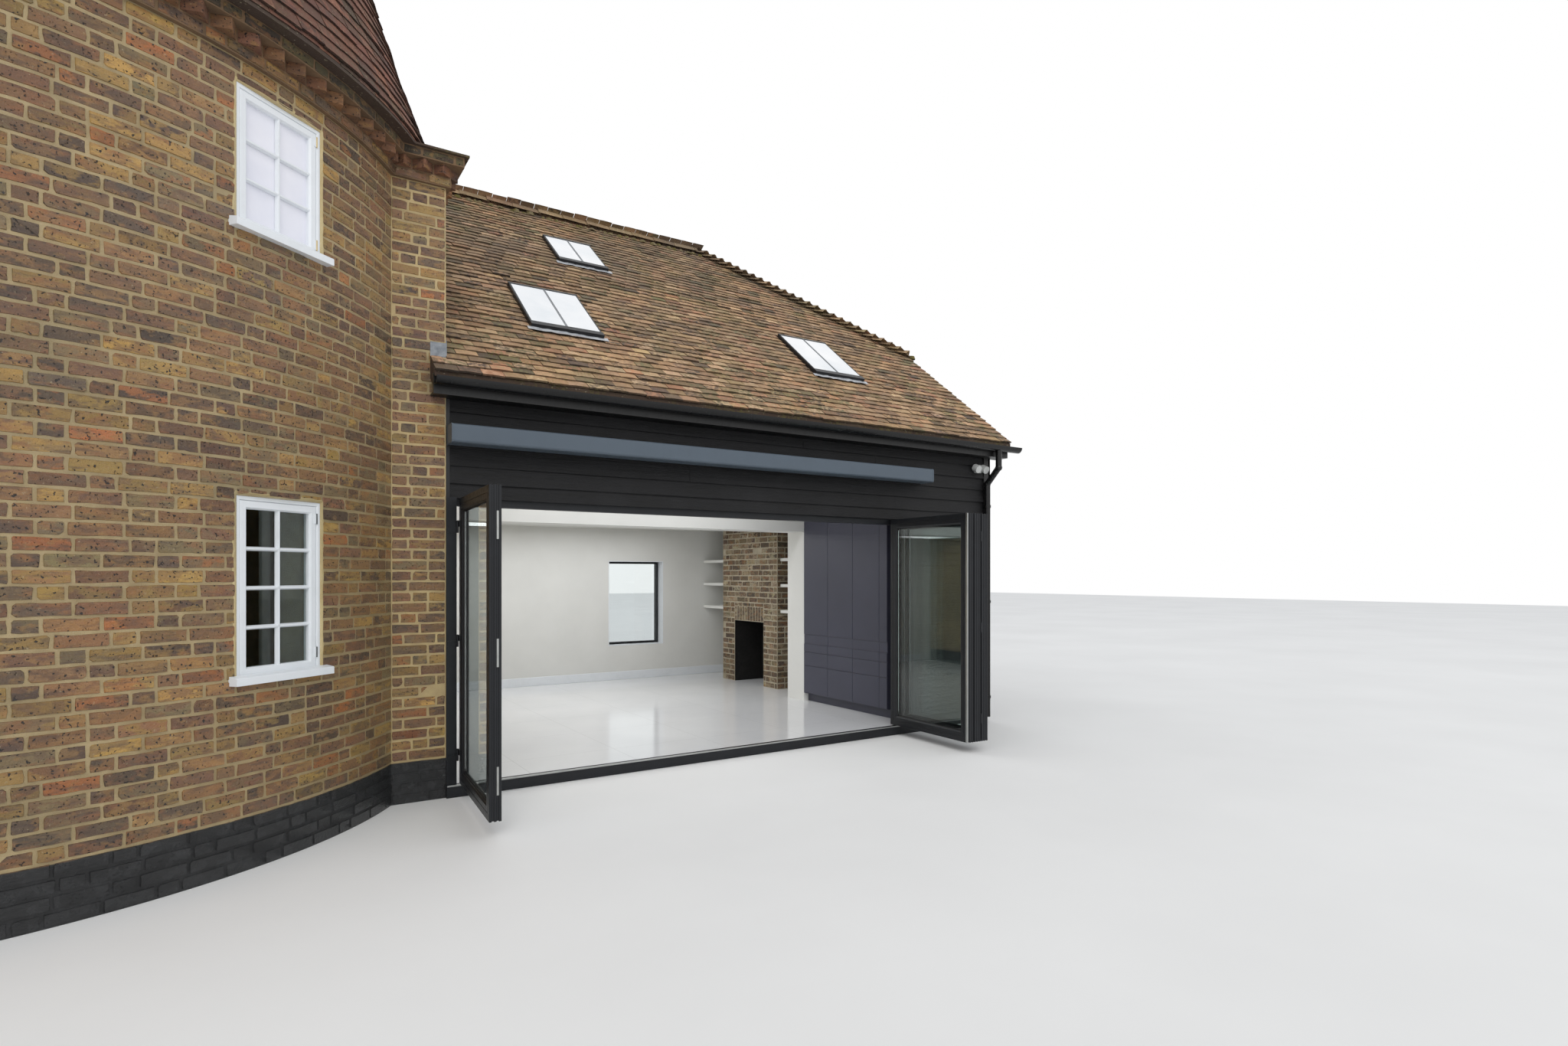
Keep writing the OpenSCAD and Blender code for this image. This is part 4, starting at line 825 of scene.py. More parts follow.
def chimney_bricks():
    """The chimney breast with a soldier course over its hearth."""
    low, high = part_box("chimney_breast")
    inside = high.y - low.y
    hearth_w, hearth_top = 0.8, floor_z + 0.9
    edges = (inside - hearth_w) / 2, (inside + hearth_w) / 2
    soldier = 0.215
    hole = (*edges, floor_z - 0.01, hearth_top + soldier)
    count = round((high.z - floor_z) / course)
    face = flat_place((low.x, high.y, 0), (0, -1, 0), (-1, 0, 0))
    rows = brick_rows(face, 0, inside, floor_z, high.z, count, [hole])
    rows += brick_rows(face, *edges, hearth_top, hearth_top + soldier, 1, units=(hearth_w / 11,))
    for y, out in ((low.y, -1), (high.y, 1)):
        rows += brick_rows(flat_place((high.x, y, 0), (-1, 0, 0), (0, out, 0)), 0, high.x - low.x,
                           floor_z, high.z, count, shift=0.08)
    lay_bricks("chimney_bricks", rows, "room_brick", pale_tones)


def cornice_faces(out):
    """The round face and the two flat faces of a projecting course, each as a place and its length."""
    radius = roundel_r + out
    front_y = pier_front - out
    meet_x = (radius ** 2 - front_y ** 2) ** 0.5
    return [
        (round_place(radius), (2 * pi - asin(-front_y / radius)) * radius),
        (flat_place((meet_x, front_y, 0), (1, 0, 0), (0, -1, 0)), radius - meet_x),
        (flat_place((radius, front_y, 0), (0, 1, 0), (1, 0, 0)), -front_y),
    ]


def cornice_bricks():
    """String course, dog-tooth course of bricks set on the diagonal, and oversailing course."""
    tooth_z, oversail_z = wall_top + cornice_course, wall_top + 2 * cornice_course
    rows = []
    for place, length in cornice_faces(string_out):
        rows += brick_rows(place, 0, length, wall_top, tooth_z, 1)
    lay_bricks("string_course_bricks", rows)
    rows = []
    for place, length in cornice_faces(oversail_out):
        rows += brick_rows(place, 0, length, oversail_z, oversail_z + cornice_course, 1, shift=0.1)
    # The oversail's dark tones are partly moss and partly painted shade under the cone's eaves
    lay_bricks("oversailing_bricks", rows, "cornice_brick", mossy_shaded_tones)

    rng = dice("dog_tooth")
    diagonal, reach = 0.147, 0.074
    points = []
    for place, length in cornice_faces(string_out):
        for a, b, _ in spans(0, length, (diagonal,), 0.03):
            origin, along, out = (Vector(v) for v in place((a + b) / 2))
            half = (b - a) / 2 - 0.004
            tip = reach * min(1, (b - a) / diagonal) + rng.normal(0, 0.002)
            turn = rng.normal(0, 0.006)
            flat = [origin + along * s + out * w for s, w in (
                (-half, -0.01), (-half, 0), (-0.006, tip), (0.006 + turn, tip), (half, 0), (half, -0.01))]
            points += [(p.x, p.y, z + rng.normal(0, 0.0012))
                       for z in (tooth_z + 0.002, oversail_z - 0.001) for p in flat]
    prisms = np.array(points).reshape(-1, 12, 3)
    sides = [(k, (k + 1) % 6, 6 + (k + 1) % 6, 6 + k) for k in range(6)]
    verts, faces = copies(prisms, sides + [(5, 4, 3, 2, 1, 0), (6, 7, 8, 9, 10, 11)])
    tint = np.repeat(pick_tones(rng, tooth_tones, len(prisms)), 12, 0)
    teeth = piece("dog_tooth_bricks", verts, faces, "tooth_brick", tint=tint, tint2=tint * 0.8, spot=verts)


# Clay tiles

cone_tones = [((124, 80, 64), 24), ((110, 72, 59), 22), ((138, 90, 70), 14), ((98, 68, 58), 12),
              ((150, 104, 82), 6), ((118, 88, 70), 12), ((92, 70, 58), 8)]
wing_tones = [((202, 165, 126), 24), ((183, 148, 113), 20), ((162, 132, 103), 16), ((132, 109, 88), 10),
              ((105, 89, 76), 8), ((216, 183, 145), 10), ((195, 142, 109), 7), ((128, 119, 86), 6)]
bonnet_tones = [((196, 168, 130), 20), ((172, 146, 114), 14), ((148, 124, 98), 10)]

TILE_ROWS = (0.0, 0.55, 1.0)
TILE_COLUMNS = (-1.0, -0.34, 0.34, 1.0)


def lay_tiles(name, tiles, tones, material, length=0.19, lift=0.022):
    """Tiles as (tail, along, up, out, half width at tail, half width at head) in one piece."""
    rng = dice(name)
    data = np.array(tiles)
    count = len(data)
    tail, along, up, out = (data[:, 3 * i:3 * i + 3] for i in range(4))
    half_tail, half_head = data[:, 12], data[:, 13]
    raise_by = lift + rng.normal(0, 0.0022, count)
    raise_by += (rng.random(count) < 0.06) * rng.uniform(0.002, 0.007, count)
    twist = rng.normal(0, 0.010, count)
    slip = rng.normal(0, 0.0035, count)
    camber = rng.uniform(0.001, 0.004, count)
    edge = rng.normal(0, 0.0012, (count, len(TILE_COLUMNS)))

    def point(c, r, sink):
        share, v = TILE_COLUMNS[c], TILE_ROWS[r]
        half = half_tail + (half_head - half_tail) * v
        height = raise_by * (1 - v) + 0.003 - camber * share ** 2 - sink
        reach = v * length + slip + (edge[:, c] if r == 0 else 0)
        side = share * half + twist * (reach - length / 2)
        lean = twist * share * half
        return tail + along * side[:, None] + up * (reach + lean)[:, None] + out * height[:, None]

    points = [point(c, r, 0.0) for r in range(3) for c in range(4)]
    points += [point(c, 0, tile_t) for c in range(4)] + [point(c, 1, tile_t) for c in (0, 3)]
    points += [point(c, 0, 0.001) for c in range(4)]
    faces = [(4 * r + c, 4 * r + c + 1, 4 * r + c + 5, 4 * r + c + 4) for r in range(2) for c in range(3)]
    faces += [(c, 18 + c, 19 + c, c + 1) for c in range(3)]
    faces += [(12 + c, 13 + c, 19 + c, 18 + c) for c in range(3)]
    faces += [(12, 18, 0, 4, 16), (15, 17, 7, 3, 21)]
    verts, all_faces = copies(np.stack(points, 1), faces)
    size = len(points)
    tint, tint2 = (np.repeat(pick_tones(rng, tones, count, 0.14), size, 0) for _ in range(2))
    shade = np.tile([1.0] * 8 + [0.55] * 4 + [0.25] * 4 + [0.5] * 2 + [0.32] * 4, count)
    obj = piece(name, verts, all_faces, material, tint=tint, tint2=tint2,
                shade=np.repeat(shade[:, None], 3, 1))
    return obj


def cone_radius(h):
    """Radius of the conical roof at a height above the cornice, as in the solid."""
    foot = roundel_r + cone_out
    return foot - (foot - cone_top_r) * h / cone_h + flare * max(0, 1 - h / flare_h) ** 2


def cone_tiles():
    """Courses round the cone; the first, shorter one lies under the others' tails."""
    rng = dice("cone_rows")
    tiles, under, h, row = [], [], 0.032, -1
    while h < cone_h - 0.12:
        r0, r1 = cone_radius(h), cone_radius(h + 0.15)
        steep = Vector((r1 - r0, 0, 0.15)).normalized()
        around = max(12, round(2 * pi * r0 / tile_w))
        half, head = (pi * r / around - tile_gap for r in (r0, cone_radius(h + 0.18)))
        turn = rng.uniform(0, 2 * pi)
        for i in range(around):
            t = turn + 2 * pi * (i + 0.5 * (row % 2)) / around
            c, s = cos(t), sin(t)
            (tiles if row >= 0 else under).append((
                r0 * c, r0 * s, cone_low.z + h, -s, c, 0, steep.x * c, steep.x * s, steep.z,
                steep.z * c, steep.z * s, -steep.x, half, head))
        h += tile_gauge * steep.z if row >= 0 else 0.030
        row += 1
    lay_tiles("cone_tiles", tiles, cone_tones, "cone_tile")
    lay_tiles("cone_under_course", under, cone_tones, "cone_tile", 0.12, 0.003)


def slope_tiles(origin, along, into, rows, left, right, holes=(), start=0.040):
    """Tiles of a plane slope, cut at both sides and round holes of (left, right, bottom, top)."""
    up = Vector(into) * cos(pitch) + Vector((0, 0, sin(pitch)))
    out = Vector(along).cross(up)
    tiles = []
    for row in range(rows):
        rise = row * tile_gauge
        cuts = [h[:2] for h in holes if h[2] < rise + tile_gauge * 0.8 and h[3] > rise]
        shift = (tile_w / 2 if row % 2 else 0) + 10 * tile_w
        for a, b, _ in spans(left(rise), right(rise), (tile_w,), shift % tile_w, cuts, 0.06):
            tail = Vector(origin) + Vector(along) * (a + b) / 2 + up * (rise + start)
            half = (b - a) / 2 - tile_gap
            tiles.append((*tail, *along, *up, *out, half, half))
    return tiles


# Rooflights as (middle from the wing's left edge, rise of the middle above the eaves, width, length)
rooflights = ((1.155, 0.93, 0.65, 0.91), (4.19, 0.93, 0.65, 0.91), (1.87, 2.09, 0.54, 0.72))


def rooflight_holes():
    """The rooflights as (left, right, bottom, top) on the front slope, from its low left corner."""
    found = []
    for x, z, w, l in rooflights:
        middle = z / sin(pitch)
        found.append((x - w / 2, x + w / 2, middle - l / 2, middle + l / 2))
    return found


def wing_tiles():
    """Tiles of the front slope, the rear slope and the half hip, as one piece."""
    length = (ridge_y - eaves_y) / cos(pitch)
    rows = round(length / tile_gauge)

    def depth(rise):
        return eaves_y + rise * cos(pitch)

    def front_left(rise):
        y = depth(rise)
        if y < pier_front - 0.03:
            return -0.11
        return 0.0 if y < 0.25 else gable_x - wing_x0 + max(0, 0.5 - 0.6 * (y - 0.25))

    def front_right(rise):
        y = depth(rise)
        return (verge_x if y < hip_front_y else hip_x - (y - hip_front_y)) - wing_x0

    tiles = slope_tiles((wing_x0, eaves_y, eaves_z), (1, 0, 0), (0, 1, 0), rows,
                        front_left, front_right, rooflight_holes(), -0.012)
    rear_rows = round((rear_eaves_y - ridge_y) / cos(pitch) / tile_gauge)
    tiles += slope_tiles((hip_x, rear_eaves_y, high_eaves_z), (-1, 0, 0), (0, -1, 0), rear_rows,
                         lambda rise: rise * cos(pitch), lambda rise: hip_x - gable_x)
    tiles += slope_tiles((hip_x, ridge_y, high_eaves_z), (0, 1, 0), (-1, 0, 0), rear_rows,
                         lambda rise: hip_front_y - ridge_y + rise * cos(pitch),
                         lambda rise: rear_eaves_y - ridge_y - rise * cos(pitch))
    lay_tiles("wing_roof_tiles", tiles, wing_tones, "wing_tile")


def shell_run(rings, thickness):
    """A curved shell through rings of points; gives its points and faces, closed at both ends."""
    rings = np.array(rings)
    count, size = rings.shape[:2]
    middle = rings.mean(1, keepdims=True)
    reach = rings - middle
    inner = middle + reach * (1 - thickness / np.linalg.norm(reach, axis=2, keepdims=True))
    verts = np.concatenate([rings.reshape(-1, 3), inner.reshape(-1, 3)])
    base = count * size
    faces = []
    for r in range(count - 1):
        for k in range(size - 1):
            a, b = r * size + k, r * size + k + 1
            faces += [(a, b, b + size, a + size), (base + a, base + a + size, base + b + size, base + b)]
    for r in (0, count - 1):
        for k in range(size - 1):
            a, b = r * size + k, r * size + k + 1
            faces.append((a, base + a, base + b, b) if r else (a, b, base + b, base + a))
    for k in (0, size - 1):
        for r in range(count - 1):
            a, b = r * size + k, (r + 1) * size + k
            faces.append((a, b, base + b, base + a) if k else (a, base + a, base + b, b))
    return verts, faces


def arc_ring(middle, side, up, radius, spread, steps=8):
    """Points of an arc over a line: side and up span its plane."""
    angles = np.linspace(-spread, spread, steps + 1)
    return [tuple(middle + side * (radius * sin(a)) + up * (radius * cos(a))) for a in angles]


def ridge_and_hips():
    """Half-round ridge tiles in mossy mortar, and bonnet tiles down both hips."""
    rng = dice("ridge")
    verts, faces, tints = [], [], []

    def add(rings):
        points, shell = shell_run(rings, 0.014)
        base = sum(len(v) for v in verts)
        verts.append(points)
        faces.extend(tuple(k + base for k in face) for face in shell)
        tints.append(np.repeat(pick_tones(rng, bonnet_tones, 1, 0.12), len(points), 0))

    side, up, unit = Vector((0, 1, 0)), Vector((0, 0, 1)), 0.305
    for i in range(int((ridge_x1 - gable_x) / unit) + 1):
        x = gable_x + i * unit
        rings = []
        for part, radius in ((0, 0.121), (unit + 0.03, 0.111)):
            middle = Vector((min(x + part, ridge_x1 + 0.03), ridge_y, ridge_z - 0.052 + rng.normal(0, 0.003)))
            rings.append(arc_ring(middle, side, up, radius, 1.25))
        add(rings)

    for foot in hip_feet:
        run = hip_top - foot
        way = run.normalized()
        cross = way.cross(up).normalized()
        normal = cross.cross(way).normalized()
        step = tile_gauge * run.length / (abs(run.y) / cos(pitch))
        for i in range(int(run.length / step - 0.5)):
            tail = foot + way * (i * step + 0.105)
            tilt = rng.normal(0, 0.03)
            rings = []
            for reach, radius, drop in ((-0.012, 0.168, 0.082), (0.09, 0.128, 0.080), (0.22, 0.092, 0.078)):
                middle = tail + way * reach - normal * (drop - 0.010 + reach * 0.05) + cross * tilt * 0.05
                rings.append(arc_ring(middle, cross, normal, radius, 0.95))
            add(rings)
    tint = np.concatenate(tints)
    obj = piece("ridge_and_bonnet_tiles", np.concatenate(verts), faces, "wing_tile",
                tint=tint, tint2=tint * 0.75, shade=np.ones(3))
    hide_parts("ridge_tiles")


def moss_beds():
    """Mortar and moss under the ridge tiles and under each bonnet's tail."""
    rng = dice("moss")
    lumps = []
    for side in (-1, 1):
        x = gable_x + 0.01
        while x < ridge_x1:
            w = rng.uniform(0.05, 0.14)
            y = ridge_y + side * rng.uniform(0.095, 0.125)
            z = ridge_z - abs(y - ridge_y) * tan(pitch) + 0.012
            lumps.append((x, y, z, w, rng.uniform(0.015, 0.035)))
            x += w * rng.uniform(0.7, 1.3)
    for foot in hip_feet:
        count = int(abs(hip_top.y - foot.y) / cos(pitch) / tile_gauge)
        for i in range(count):
            at = foot.lerp(hip_top, (i + 0.12) / count)
            lumps.append((at.x, at.y, at.z + 0.028, 0.11, 0.03))
    verts, faces = [], []
    for x, y, z, w, h in lumps:
        base, sides = len(verts), 7
        verts.append((x, y, z + h))
        for ring, (share, drop) in enumerate(((0.6, 0.25), (1.0, 1.0))):
            for k in range(sides):
                a = 2 * pi * k / sides
                r = w / 2 * share * rng.uniform(0.8, 1.2)
                verts.append((x + r * cos(a), y + r * sin(a), z + h * (1 - drop) - 0.02 * ring))
        for k in range(sides):
            n = (k + 1) % sides
            faces += [(base, base + 1 + k, base + 1 + n),
                      (base + 1 + k, base + 1 + sides + k, base + 1 + sides + n, base + 1 + n)]
    piece("ridge_moss", verts, faces, "moss", smooth=True)


def cowl_boards():
    """Upright tapered boards round the cowl, left out over its open side."""
    foot_r, head_r, lean, high = 0.75, 0.27, 0.40, cowl_high.z - cowl_low.z
    mouth_low, mouth_high = 0.29, 0.29 + 1.56
    mouth_x, margin = 0.34 - foot_r, 0.02
    count, thick, groove = 27, 0.009, 0.005
    shape = Shape((0, 0, cowl_low.z), (1, 0, 0), (0, 1, 0))

    def ring(h):
        return -lean * h / high, foot_r + (head_r - foot_r) * h / high

    def open_here(h, t):
        x, r = ring(h)
        share = (h - mouth_low) / (mouth_high - mouth_low)
        half = 0.35 + (0.165 - 0.35) * min(max(share, 0), 1)
        if not mouth_low - margin < h < mouth_high + margin:
            return False
        return x + r * cos(t) < mouth_x + margin and abs(r * sin(t)) < half + margin

    def board(ends, t0, t1):
        points = []
        for h in ends:
            x, r = ring(h)
            for t, out in ((t0 + 0.001 / r, -0.002), (t0 + groove / r, thick), ((t0 + t1) / 2, thick + 0.001),
                           (t1 - groove / r, thick), (t1 - 0.001 / r, -0.002)):
                points.append((x + (r + out) * cos(t), (r + out) * sin(t), h))
        shape.add(points, [(n, (n + 1) % 5, 5 + (n + 1) % 5, 5 + n) for n in range(5)]
                  + [(4, 3, 2, 1, 0), (5, 6, 7, 8, 9)])

    heights = np.linspace(0.012, high - 0.006, 60)
    for k in range(count):
        t0, t1 = 2 * pi * k / count, 2 * pi * (k + 1) / count
        for cut_out, run in groupby(heights, lambda h: any(open_here(h, t) for t in (t0, t1, (t0 + t1) / 2))):
            run = list(run)
            if not cut_out and len(run) > 1:
                board((run[0], run[-1]), t0, t1)
    shape.make("cowl_boards", "white_paint", "white_timber", "cowl")


# Boards

def board_run(name, place, start, end, z0, z1, holes=(), left=None, right=None, lowest=board_step):
    """Feather-edged boards on a wall; left and right give the run's ends at a height."""
    rng = dice(name)
    verts, faces, along_layer = [], [], []
    thick, thin, lap = 0.027, 0.009, 0.028
    z, step = z0, lowest
    while z < z1:
        top = min(z + step + lap, z1 + lap)
        lo = max(start, left(z)) if left else start
        hi = min(end, right(z)) if right else end
        lo_top = max(start, left(top)) if left else lo
        hi_top = min(end, right(top)) if right else hi
        cuts = [h[:2] for h in holes if h[2] < z + step - 0.005 and h[3] > z + 0.02]
        joint = rng.uniform(1.4, 4.6)
        for a, b, _ in spans(lo, hi, (joint, 4.2, 3.9), 0.0, cuts, 0.08):
            first, last = abs(a - lo) < 1e-6, abs(b - hi) < 1e-6
            bow, lift = rng.normal(0, 0.0015, 2)
            stations = max(2, int((b - a) / 0.35) + 1)
            base = len(verts)
            offset = rng.uniform(0, 50)
            for i in range(stations):
                share = i / (stations - 1)
                low_s = a + (b - a) * share + (0.001 if i == 0 else -0.001 if i == stations - 1 else 0)
                top_a, top_b = (lo_top if first else a), (hi_top if last else b)
                top_s = top_a + (top_b - top_a) * share
                wave, sway = rng.normal(0, 0.0010), rng.normal(0, 0.0012)
                low_z = z + wave + lift
                for s, height, out in ((low_s, low_z, -0.002), (low_s, low_z, thick + sway + bow),
                                       (top_s, top, thin + sway), (top_s, top, -0.002)):
                    (x, y, _), _, normal = place(s)
                    verts.append(tuple(Vector((x, y, height)) + Vector(normal) * out))
                    along_layer.append((s + offset, out * 3, height + offset))
            for i in range(stations - 1):
                p = base + 4 * i
                faces += [(p + k, p + 4 + k, p + 4 + (k + 1) % 4, p + (k + 1) % 4) for k in range(4)]
            end_at = base + 4 * (stations - 1)
            faces += [(base, base + 1, base + 2, base + 3), (end_at + 3, end_at + 2, end_at + 1, end_at)]
        z, step = z + step, board_step
    return piece(name, verts, faces, "boards", along=np.array(along_layer))


def roof_edge_y(z):
    """Where the underside of the front slope meets a height, as a place along Y."""
    return eaves_y + (z + roof_depth - eaves_z) / tan(pitch)


def boards():
    """Weatherboards over the doors, beside them, and on the right and rear walls."""
    foot, gap, low_row = 0.15, 0.001, 0.108
    front = flat_place((0, wing_front, 0), (1, 0, 0), (0, -1, 0))
    board_run("front_boards", front, wing_x0, wing_x1, door_high.z + gap, soffit_z + 0.02, lowest=low_row)
    board_run("front_corner_boards", front, door_high.x, wing_x1, foot, door_high.z - 0.045)
    right = flat_place((wing_x1, 0, 0), (0, 1, 0), (1, 0, 0))
    board_run("right_boards", right, wing_front, wing_rear, foot, high_eaves_z - 0.12, left=roof_edge_y)
    rear = flat_place((0, wing_rear, 0), (-1, 0, 0), (0, 1, 0))
    hole = (-rear_window_high.x, -rear_window_low.x, rear_window_low.z, rear_window_high.z)
    board_run("rear_boards", rear, -wing_x1, -wing_x0, foot, high_eaves_z - 0.12, [hole])


def trim():
    """Corner boards, the strip beside the pier and the rear window's surround."""
    out, w, edge = 0.032, 0.07, 0.05
    low, high, rear_top = 0.12, soffit_z + 0.01, high_eaves_z - 0.14
    left, right = rear_window_low.x, rear_window_high.x
    sill, head = rear_window_low.z, rear_window_high.z
    parts = [
        ((wing_x0 + 0.001, wing_front - out, low), (wing_x0 + 0.034, wing_front, high)),
        ((wing_x1 - w, wing_front - out, low), (wing_x1 + out, wing_front, high)),
        ((wing_x1, wing_front - out, low), (wing_x1 + out, wing_front + w, high)),
        ((wing_x1 - w, wing_rear, low), (wing_x1 + out, wing_rear + out, rear_top)),
        ((wing_x1, wing_rear - w, low), (wing_x1 + out, wing_rear + out, rear_top)),
        ((wing_x0 + 0.001, wing_rear, low), (wing_x0 + edge, wing_rear + out, rear_top)),
        ((left - edge, wing_rear, head), (right + edge, wing_rear + out, head + 0.06)),
        ((left - edge, wing_rear, sill - edge), (right + edge, wing_rear + edge, sill)),
        ((left - edge, wing_rear, sill), (left, wing_rear + out, head)),
        ((right, wing_rear, sill), (right + edge, wing_rear + out, head)),
    ]
    boxes("corner_boards", parts, "black_paint", bevel=0.003)


def apron(rng, w, low):
    """A rippled lead sheet below a rooflight, as points and faces."""
    columns, rows, beyond = 16, 4, 0.04
    points = []
    for thick in (0.0, 0.004):
        for r in range(rows):
            for c in range(columns):
                ripple = rng.normal(0, 0.0016) + 0.002 * sin(c * 2.1)
                points.append((-w / 2 - beyond + (w + 0.08) * c / (columns - 1), 0.0305 + ripple + thick,
                               low - 0.012 - 0.055 * (1 - r / (rows - 1)) + rng.normal(0, 0.0015)))
    layer = columns * rows
    faces = []
    for r in range(rows - 1):
        for c in range(columns - 1):
            k = r * columns + c
            faces += [(k, k + columns, k + columns + 1, k + 1),
                      tuple(layer + v for v in (k, k + 1, k + columns + 1, k + columns))]
    rim = [*range(columns), *range(2 * columns - 1, layer, columns),
           *range(layer - 2, layer - columns - 1, -1), *range(layer - 2 * columns, 0, -columns)]
    return points, faces + [(a, b, layer + b, layer + a) for a, b in zip(rim, rim[1:] + rim[:1])]


def rooflight_trims():
    """Dark cover frames with a centre bar, and a lead apron dressed over the tiles below each."""
    rng = dice("rooflights")
    dark, lead, glass, seam = Shape(), Shape(), Shape(), Shape()
    up, out = np.array((0, cos(pitch), sin(pitch))), np.array((0, -sin(pitch), cos(pitch)))
    cover = [(-0.005, 0.012), (-0.005, 0.054), (0.001, 0.060),
             (0.012, 0.060), (0.014, 0.0565), (0.010, 0.045)]
    for x, rise, w, l in rooflights:
        middle = np.array((wing_x0 + x, eaves_y, eaves_z)) + up * rise / sin(pitch)
        half, low = w / 2, -l / 2
        for shape in (dark, lead, glass, seam):
            shape.at(middle, (1, 0, 0), out, up)
        dark.hoop(-half, half, low, -low, cover)
        glass.box((0.013 - half, 0.0555, low + 0.050), (half - 0.013, 0.0585, -low - 0.013))
        for at in (-0.006, 0.006):
            seam.box((at - 0.0025, 0.056, low + 0.050), (at + 0.0025, 0.0625, -low - 0.012))
        dark.box((-half - 0.007, -0.012, low - 0.018), (half + 0.007, 0.0635, low + 0.052))
        dark.box((-half - 0.007, 0.004, -low - 0.014), (half + 0.007, 0.0620, -low + 0.020))
        lead.add(*apron(rng, w, low))
    dark.make("rooflight_covers", "aluminium", "dark_metal", bevel=0.002)
    glass.make("rooflight_outer_panes", "sky_pane", "window_glass", bevel=0.0006)
    seam.make("rooflight_glazing_bars", "bar_grey", "dark_metal", bevel=0.0006)
    lead.make("rooflight_aprons", "pale_lead", "lead")


# Doors: the access leaf rides on its hinge, the others are folded against the right jamb

leaf_w, leaf_t, stile_w = 1.149, 0.078, 0.095
leaf_z = floor_z + 0.010, door_high.z - 0.006
access_axis, access_turn, access_out = (3.038, -1.462), radians(-93.5), 0.012
stack_corner, stack_turn, stack_pitch, stack_count = (7.547, -1.400), radians(-93), 0.090, 3
knuckle_r, knuckle_h = 0.009, 0.045


def turned(corner, turn, shift=0.0):
    """Origin and axes of a leaf turned about an upright corner and shifted through its thickness."""
    along, inwards = np.array((cos(turn), sin(turn), 0)), np.array((-sin(turn), cos(turn), 0))
    return np.array((*corner, 0)) + inwards * shift, along, inwards


def leaf_frame(metal, rubber, s0=0.0):
    """One glazed leaf: grooved edges, a shadow line on both faces, beads and gaskets."""
    low, high = leaf_z
    line = [(0.047, 0.0), (0.047, 0.003), (0.051, 0.003), (0.051, 0.0), (0.085, 0.0), (stile_w, 0.008)]
    back = [(inset, leaf_t - w) for inset, w in reversed(line)]
    edge = [(0.002, leaf_t), (0.0, leaf_t - 0.002), (0.0, 0.062), (0.004, 0.060), (0.004, 0.048),
            (0.0, 0.046), (0.0, 0.032), (0.004, 0.030), (0.004, 0.018),
            (0.0, 0.016), (0.0, 0.002), (0.002, 0.0)]
    metal.hoop(s0, s0 + leaf_w, low, high, line + back + edge)
    for near, far in ((0.010, 0.026), (leaf_t - 0.010, leaf_t - 0.026)):
        rubber.hoop(s0, s0 + leaf_w, low, high, [(stile_w - 0.001, near), (stile_w + 0.006, (near + far) / 2),
                                                 (stile_w + 0.006, far), (stile_w - 0.001, far)])


def doors():
    """The open leaf with its lock plates, and the stack of folded ones; both with hinges."""
    low, high = leaf_z
    heights = [low + share * (high - low) - knuckle_h for share in (0.1, 0.5, 0.9)]
    metal, rubber, steel = Shape(), Shape(), Shape()
    for shape in (metal, rubber, steel):
        shape.at(*turned(access_axis, access_turn, access_out))
    leaf_frame(metal, rubber, 0.003)
    end = 0.003 + leaf_w
    for share in (0.12, 0.5, 0.88):
        middle = low + share * (high - low)
        steel.box((end - 0.003, 0.0475, middle - 0.09), (end + 0.0012, 0.0605, middle + 0.09))
        steel.box((end - 0.003, 0.0515, middle - 0.03), (end + 0.004, 0.0565, middle - 0.01))
    metal.at(*turned(access_axis, access_turn))
    for z in heights:
        metal.rod(0, 0, z + knuckle_h, z + 2 * knuckle_h, knuckle_r, 16)
        metal.box((0, 0.006, z + knuckle_h), (0.06, 0.0125, z + 2 * knuckle_h))
    leaf = metal.make("access_leaf_frame", "aluminium", "dark_metal", "single_leaf", 0.0008)
    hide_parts("access_leaf")
    rubber.make("access_leaf_gaskets", "gasket", None, "single_leaf")
    steel.make("access_leaf_lock_plates", "silver", None, "single_leaf", 0.0006)

    metal, rubber, steel = Shape(), Shape(), Shape()
    for index in range(stack_count):
        for shape in (metal, rubber, steel):
            shape.at(*turned(stack_corner, stack_turn, -index * stack_pitch))
        leaf_frame(metal, rubber)
        if index:
            for z in heights:
                joint = leaf_t + 0.006
                metal.rod(leaf_w if index % 2 else 0.0, joint, z, z + 2 * knuckle_h, 0.007, 16)
    steel.box((leaf_w - 0.020, -0.0012, low), (leaf_w + 0.0012, 0.010, high))
    jamb_x = door_high.x - 0.075
    metal.at((0, 0, 0), (1, 0, 0), (0, 1, 0))
    face = stack_corner[1] - stile_w / 2
    for z in heights:
        metal.box((stack_corner[0] + leaf_t / 2, face, z), (jamb_x, face + 0.009, z + 2 * knuckle_h))
        metal.rod(jamb_x - 0.015, face, z, z + 2 * knuckle_h, 0.009, 16)
    stack = metal.make("folded_leaf_frames", "aluminium", "dark_metal", bevel=0.0008)
    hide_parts("folded_leaves")
    rubber.make("folded_leaf_gaskets", "gasket")
    steel.make("folded_leaf_edge_strip", "silver", bevel=0.0006)


def threshold():
    """Aluminium nosing strip and the dark running groove of the sill."""
    x0, x1, y = door_low.x + 0.004, door_high.x - 0.004, door_low.y
    bright = [((x0, y - 0.0012, floor_z - 0.010), (x1, y + 0.012, floor_z + 0.0012))]
    grooves = [((x0, y + 0.034, floor_z - 0.004), (x1, y + 0.040, floor_z + 0.0008))]
    boxes("sill_nosing_strip", bright, "silver", bevel=0.0006)
    boxes("sill_groove", grooves, "gasket", bevel=0.0003)


